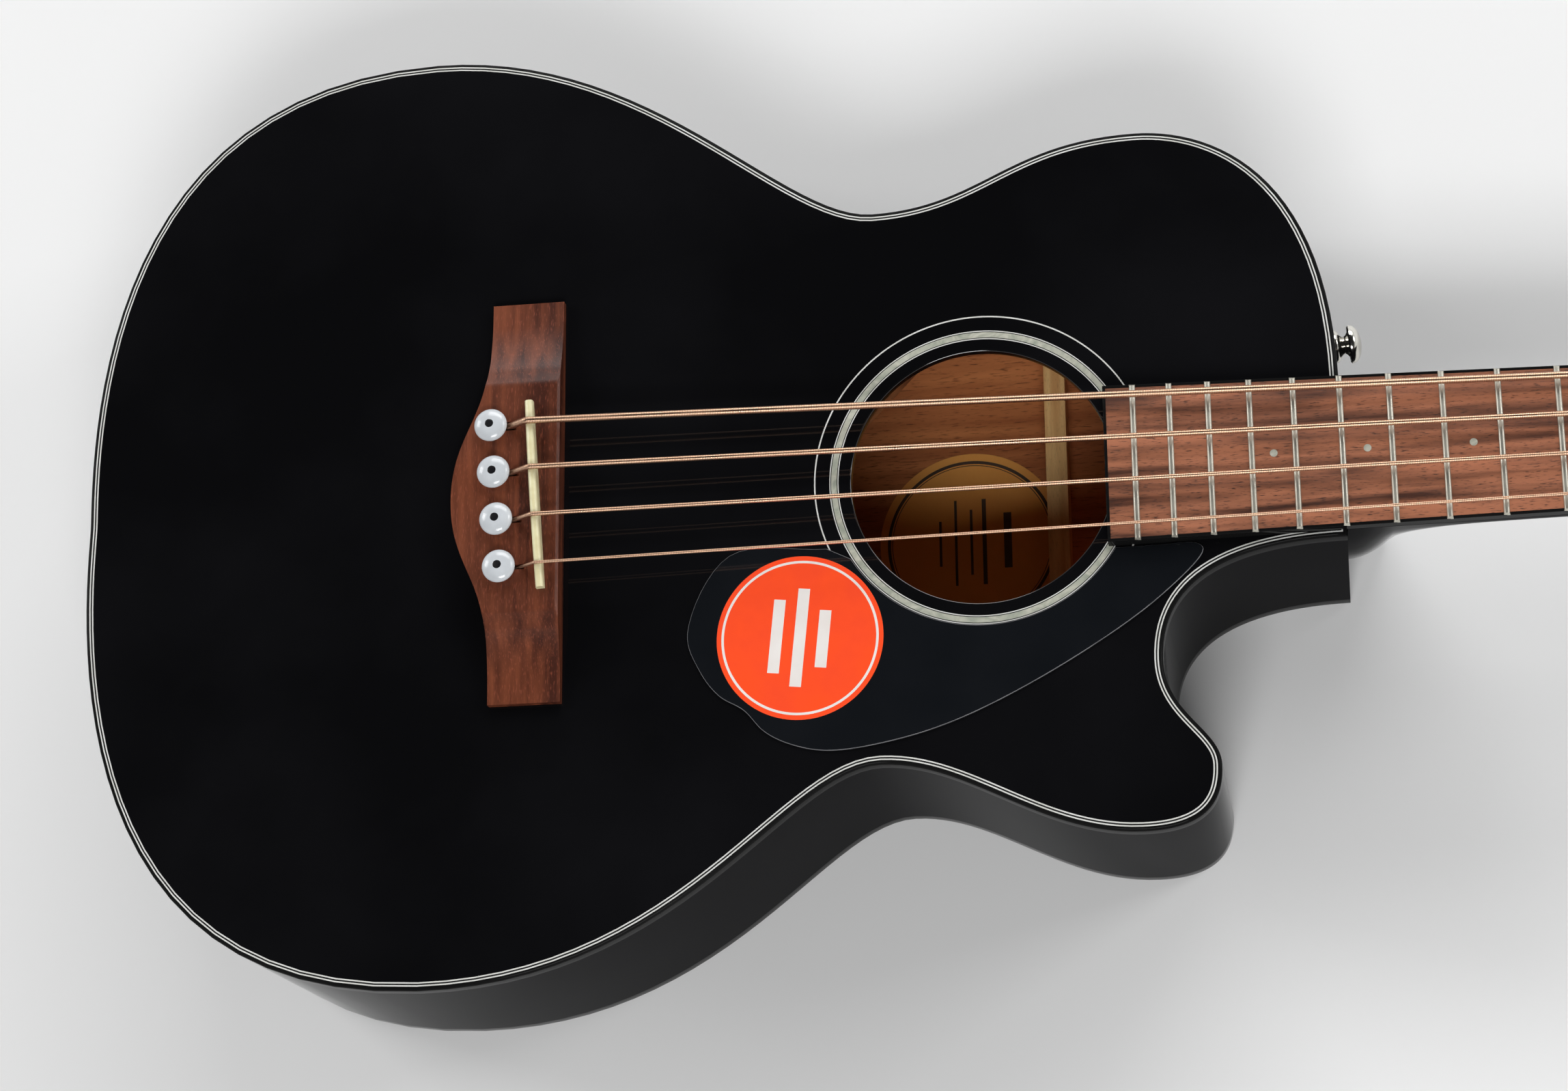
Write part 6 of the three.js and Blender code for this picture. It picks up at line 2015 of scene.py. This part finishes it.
    def build(self) -> None:
        """Dresses the CAD tuners and adds their knobs and screws."""
        finishes = self.maker.finishes
        for index, name in enumerate(STRING_NAMES):
            x, y = self.strings.posts[index]
            place = HEAD @ Matrix.Translation((x, y, 0)) @ Matrix.Diagonal((1, math.copysign(1, y), 1, 1))
            self.maker.piece(
                f"tuner_{name}_post_turned", self.post(index), finishes.nickel, place=place,
                body=f"post_{name}", slot="nickel", stands_for=[f"tuner_{name}_post"])
            around = circle(0, 0, self.flange_radius, self.turned_sides)
            flange = band(around, self.flange_section, flat_height)
            self.maker.piece(
                f"tuner_{name}_bushing_turned", flange, finishes.nickel, place=place, slot="nickel",
                stands_for=[f"tuner_{name}_bushing"])
            self.maker.piece(
                f"tuner_{name}_knob", self.knob(), finishes.nickel, place=place, body=f"key_{name}",
                slot="nickel", smooth_deg=60)
            screws = joined(*(self.screw(*spot) for spot in self.screw_spots))
            self.maker.piece(
                f"tuner_{name}_screws", screws, finishes.nickel, place=place, slot="nickel", smooth_deg=30)
            for part in ("plate", "key"):
                self.maker.dress(f"tuner_{name}_{part}", finishes.nickel)


@dataclass
class Interior:
    """Wooden frame inside the box and the round label seen through the soundhole."""

    maker: Maker
    label: Triple = (147.1, 3.1, 35.5)
    brace_face: float = 177.5
    inner_face: float = 2.8
    label_thickness: float = 0.15
    rings: tuple[Point, ...] = ((32.6, 31.4), (30.9, 30.6))
    bars: tuple[Triple, ...] = (
        (14.0, 22.0, 3.0), (5.0, 34.0, 1.6), (0.0, 26.0, 1.0), (-6.0, 34.0, 1.0), (-12.0, 18.0, 1.0))
    glue: float = 0.03
    print_span: Point = (-0.05, 0.03)
    arc_steps: int = 96

    def arc(self, radius: float) -> Loop:
        """Part of a circle round the label's centre that lies before the back brace."""
        x, y, _ = self.label
        first = math.acos(min((self.brace_face - x) / radius, 1))
        sweep = 2 * math.pi - 2 * first
        turns = [first + sweep * step / self.arc_steps for step in range(self.arc_steps + 1)]
        return [(x + radius * math.cos(turn), y + radius * math.sin(turn)) for turn in turns]

    def build(self) -> None:
        """Makes the label and dresses the CAD's wooden parts."""
        finishes = self.maker.finishes
        place = Matrix.Scale(METRES_PER_MM, 4)
        x, y, radius = self.label
        low = self.inner_face + self.glue
        high = low + self.label_thickness
        self.maker.piece(
            "label_paper_disc", plate(self.arc(radius), [], low, high), finishes.label_paper,
            place=place, slot="maple")
        prints = [[*self.arc(outer), *self.arc(inner)[::-1]] for outer, inner in self.rings]
        for offset, length, width in self.bars:
            side, end = width / 2, length / 2
            prints.append(rectangle(x + offset - side, y - end, x + offset + side, y + end))
        under, over = (high + level for level in self.print_span)
        print_layer = joined(*(plate(loop, [], under, over) for loop in prints))
        self.maker.piece("label_print", print_layer, finishes.label_ink, place=place, slot="maple")
        dressed = (
            (finishes.mahogany, ("lining_top", "lining_back", "neck_block", "tail_block")),
            # The X braces get the darkened copy of mahogany: painted shade.
            (finishes.painted_shade_mahogany, ("x_brace_1", "x_brace_2")),
            # Braces get the brightened copy of spruce: painted light.
            (finishes.painted_light_brace_spruce, ("tone_bar_1", "tone_bar_2", "transverse_brace")),
            (finishes.painted_light_brace_spruce, tuple(f"back_brace_{number}" for number in range(1, 5))),
            (finishes.maple, ("bridge_plate",)),
            (finishes.bone, ("nut",)),
            (finishes.steel, ("truss_rod",)),
            (finishes.brass, ("truss_rod_nut",)),
        )
        for finish, nodes in dressed:
            for node in nodes:
                self.maker.dress(node, finish)


@dataclass
class Buttons:
    """Strap buttons on the bass shoulder and at the tail."""

    maker: Maker
    body: Body
    shoulder_share: float = 0.085
    shoulder_drop: float = 20.0
    tail_drop: float = 48.0
    section: tuple[Point, ...] = (
        (0, -14.0), (1.8, -14.0), (1.8, 0.1), (6.0, 0.1), (6.0, 0.9), (5.5, 1.5), (4.3, 2.3), (3.4, 3.0),
        (3.1, 3.8), (3.6, 4.5), (4.7, 5.2), (6.4, 5.2), (6.9, 5.7))
    rim: Point = (6.9, 6.2)
    height: float = 9.8
    edge_steps: int = 2000
    dome_steps: int = 12
    sides: int = 56

    def turned(self) -> MeshData:
        """One button about its screw's axis."""
        radius, start = self.rim
        crown = self.height - start
        dome = [(radius * c, start + crown * s) for c, s in quarter(self.dome_steps)[:-1]]
        return lathe([*self.section, *dome, (0, self.height)], self.sides)

    def place(self, x: float, y: float, angle: float, z: float) -> Matrix:
        """Matrix that points a button outward from the body's side.

        Args:
            x: Station of its foot.
            y: Distance of its foot from the centreline.
            angle: Heading of its screw seen from above.
            z: Height of its axis.

        Returns:
            The matrix into the row frame.
        """
        return (INSTRUMENT @ Matrix.Translation((x, y, z)) @ Matrix.Rotation(angle, 4, "Z")
                @ Matrix.Rotation(math.pi / 2, 4, "Y"))

    def build(self) -> None:
        """Makes both buttons."""
        finishes = self.maker.finishes
        body = self.body
        curve = stretch(
            (SCALE.joint_x, body.joint_halves[0]), "y", body.upper_bout, "x", body.shoulder_shares,
            self.edge_steps)
        number = round(self.edge_steps * self.shoulder_share)
        spot, after = curve[number], curve[number + 1]
        angle = math.atan2(after[1] - spot[1], after[0] - spot[0]) - math.pi / 2
        shoulder = self.place(*spot, angle, -self.shoulder_drop)
        self.maker.piece(
            "shoulder_button", self.turned(), finishes.nickel, place=shoulder, slot="nickel",
            stands_for=["strap_button"], smooth_deg=40)
        tail = self.place(body.tail_x, 0, math.pi, -self.tail_drop)
        self.maker.piece(
            "tail_button", self.turned(), finishes.nickel, place=tail, slot="nickel",
            stands_for=["end_button"], smooth_deg=40)


@dataclass
class Studio:
    """Camera, pale floor and soft light."""

    camera_spot: Triple = (283.725, -369.909, 1146.881)
    camera_axes: tuple[Triple, ...] = (
        (0.9855062848, 0.0564235543, 0.1599804521),
        (-0.0083017112, 0.9579758071, -0.2867288521),
        (-0.1694356637, 0.2812449743, 0.9445595907),
    )
    lens: float = 77.86
    sensor: float = 36.0
    floor_half: float = 6.0
    floor_drop: float = 0.0006
    floor_fade: tuple[float, float] = (1.9, 4.2)
    floor_glow: float = 0.62
    sky_stops: tuple[tuple[float, float], ...] = ((0.0, 0.8), (0.35, 0.75), (0.62, 0.12), (0.75, 0.015))
    panels: tuple[tuple[str, Triple, tuple[float, float], float], ...] = (
        ("key_panel", (0.5, 2.3, 1.55), (2.4, 1.1), 42.0),
        ("front_panel", (0.4, -1.75, 2.05), (1.2, 0.8), 36.0),
        ("tail_panel", (-2.0, 0.9, 1.5), (0.9, 0.9), 17.0),
        ("head_panel", (2.6, 0.9, 1.6), (0.9, 0.9), 17.0),
    )
    aim: Triple = (0.15, 0, 0.05)
    clip: tuple[float, float] = (0.01, 50)
    floor_tones: tuple[float, float] = (0.86, 0.88)

    def build(self) -> None:
        """Makes the camera, the floor, the sky and the panels."""
        turn = INSTRUMENT.to_3x3().normalized() @ Matrix(self.camera_axes)
        camera = bpy.data.cameras.new("camera")
        camera.sensor_width = self.sensor
        camera.lens = self.lens
        camera.clip_start, camera.clip_end = self.clip
        holder = in_scene("camera", camera)
        holder.matrix_world = Matrix.Translation(INSTRUMENT @ Vector(self.camera_spot)) @ turn.to_4x4()
        bpy.context.scene.camera = holder
        half = self.floor_half
        mesh = bpy.data.meshes.new("floor")
        corners = [(x, y, -self.floor_drop) for x, y in rectangle(-half, -half, half, half)]
        mesh.from_pydata(corners, [], [[0, 1, 2, 3]])
        mesh.materials.append(self.paper())
        floor = in_scene("floor", mesh)
        self.light()

    def paper(self) -> Finish:
        """Floor finish whose far part shows itself as pale as the sky, without lighting anything."""
        recipe = Recipe("floor_paper", 0.9)
        reach = recipe.nodes.new("ShaderNodeVectorMath")
        reach.operation = "LENGTH"
        recipe.links.new(recipe.place, reach.inputs[0])
        rays = recipe.nodes.new("ShaderNodeLightPath").outputs
        seen = recipe.combined("MAXIMUM", rays["Is Camera Ray"], rays["Is Glossy Ray"])
        far = recipe.within(reach.outputs["Value"], *self.floor_fade, 0, self.floor_glow)
        recipe.shader.inputs["Emission Color"].default_value = (1, 1, 1, 1)
        recipe.links.new(recipe.combined("MULTIPLY", seen, far), recipe.shader.inputs["Emission Strength"])
        dim, bright = ((tone, tone, tone) for tone in self.floor_tones)
        return recipe.paint(recipe.tones(recipe.noise(3, detail=2), ((0.3, dim), (0.7, bright))))

    def light(self) -> None:
        """Soft panels and a plain sky."""
        for name, spot, size, power in self.panels:
            lamp = bpy.data.lights.new(name, "AREA")
            lamp.shape = "RECTANGLE"
            lamp.size, lamp.size_y = size
            lamp.energy = power
            panel = in_scene(name, lamp)
            turn = (Vector(self.aim) - Vector(spot)).to_track_quat("-Z", "Y")
            panel.matrix_world = Matrix.Translation(spot) @ turn.to_matrix().to_4x4()
        world = bpy.data.worlds.new("sky")
        bpy.context.scene.world = world
        world.use_nodes = True
        nodes, links = world.node_tree.nodes, world.node_tree.links
        split = nodes.new("ShaderNodeSeparateXYZ")
        links.new(nodes.new("ShaderNodeTexCoord").outputs["Generated"], split.inputs[0])
        ramp = nodes.new("ShaderNodeValToRGB")
        set_stops(ramp.color_ramp, [(spot, (level, level, level)) for spot, level in self.sky_stops])
        links.new(split.outputs["Z"], ramp.inputs[0])
        links.new(ramp.outputs[0], nodes["Background"].inputs["Color"])
        bpy.context.scene.view_settings.view_transform = "Standard"


def main() -> None:
    """Builds every sub-assembly, from the box to the studio."""
    logging.basicConfig(level=logging.INFO, format="%(name)s: %(message)s")
    maker = Maker(Palette())
    body = Body(maker)
    run = StringRun()
    body.build()
    Interior(maker).build()
    Rosette(maker).build()
    Pickguard(maker).build()
    Bridge(maker, run).build()
    Neck(maker).build()
    Fingerboard(maker).build()
    strings = Strings(maker, run)
    Tuners(maker, strings).build()
    strings.build()
    Buttons(maker, body).build()
    Studio().build()


if __name__ == "__main__":
    main()
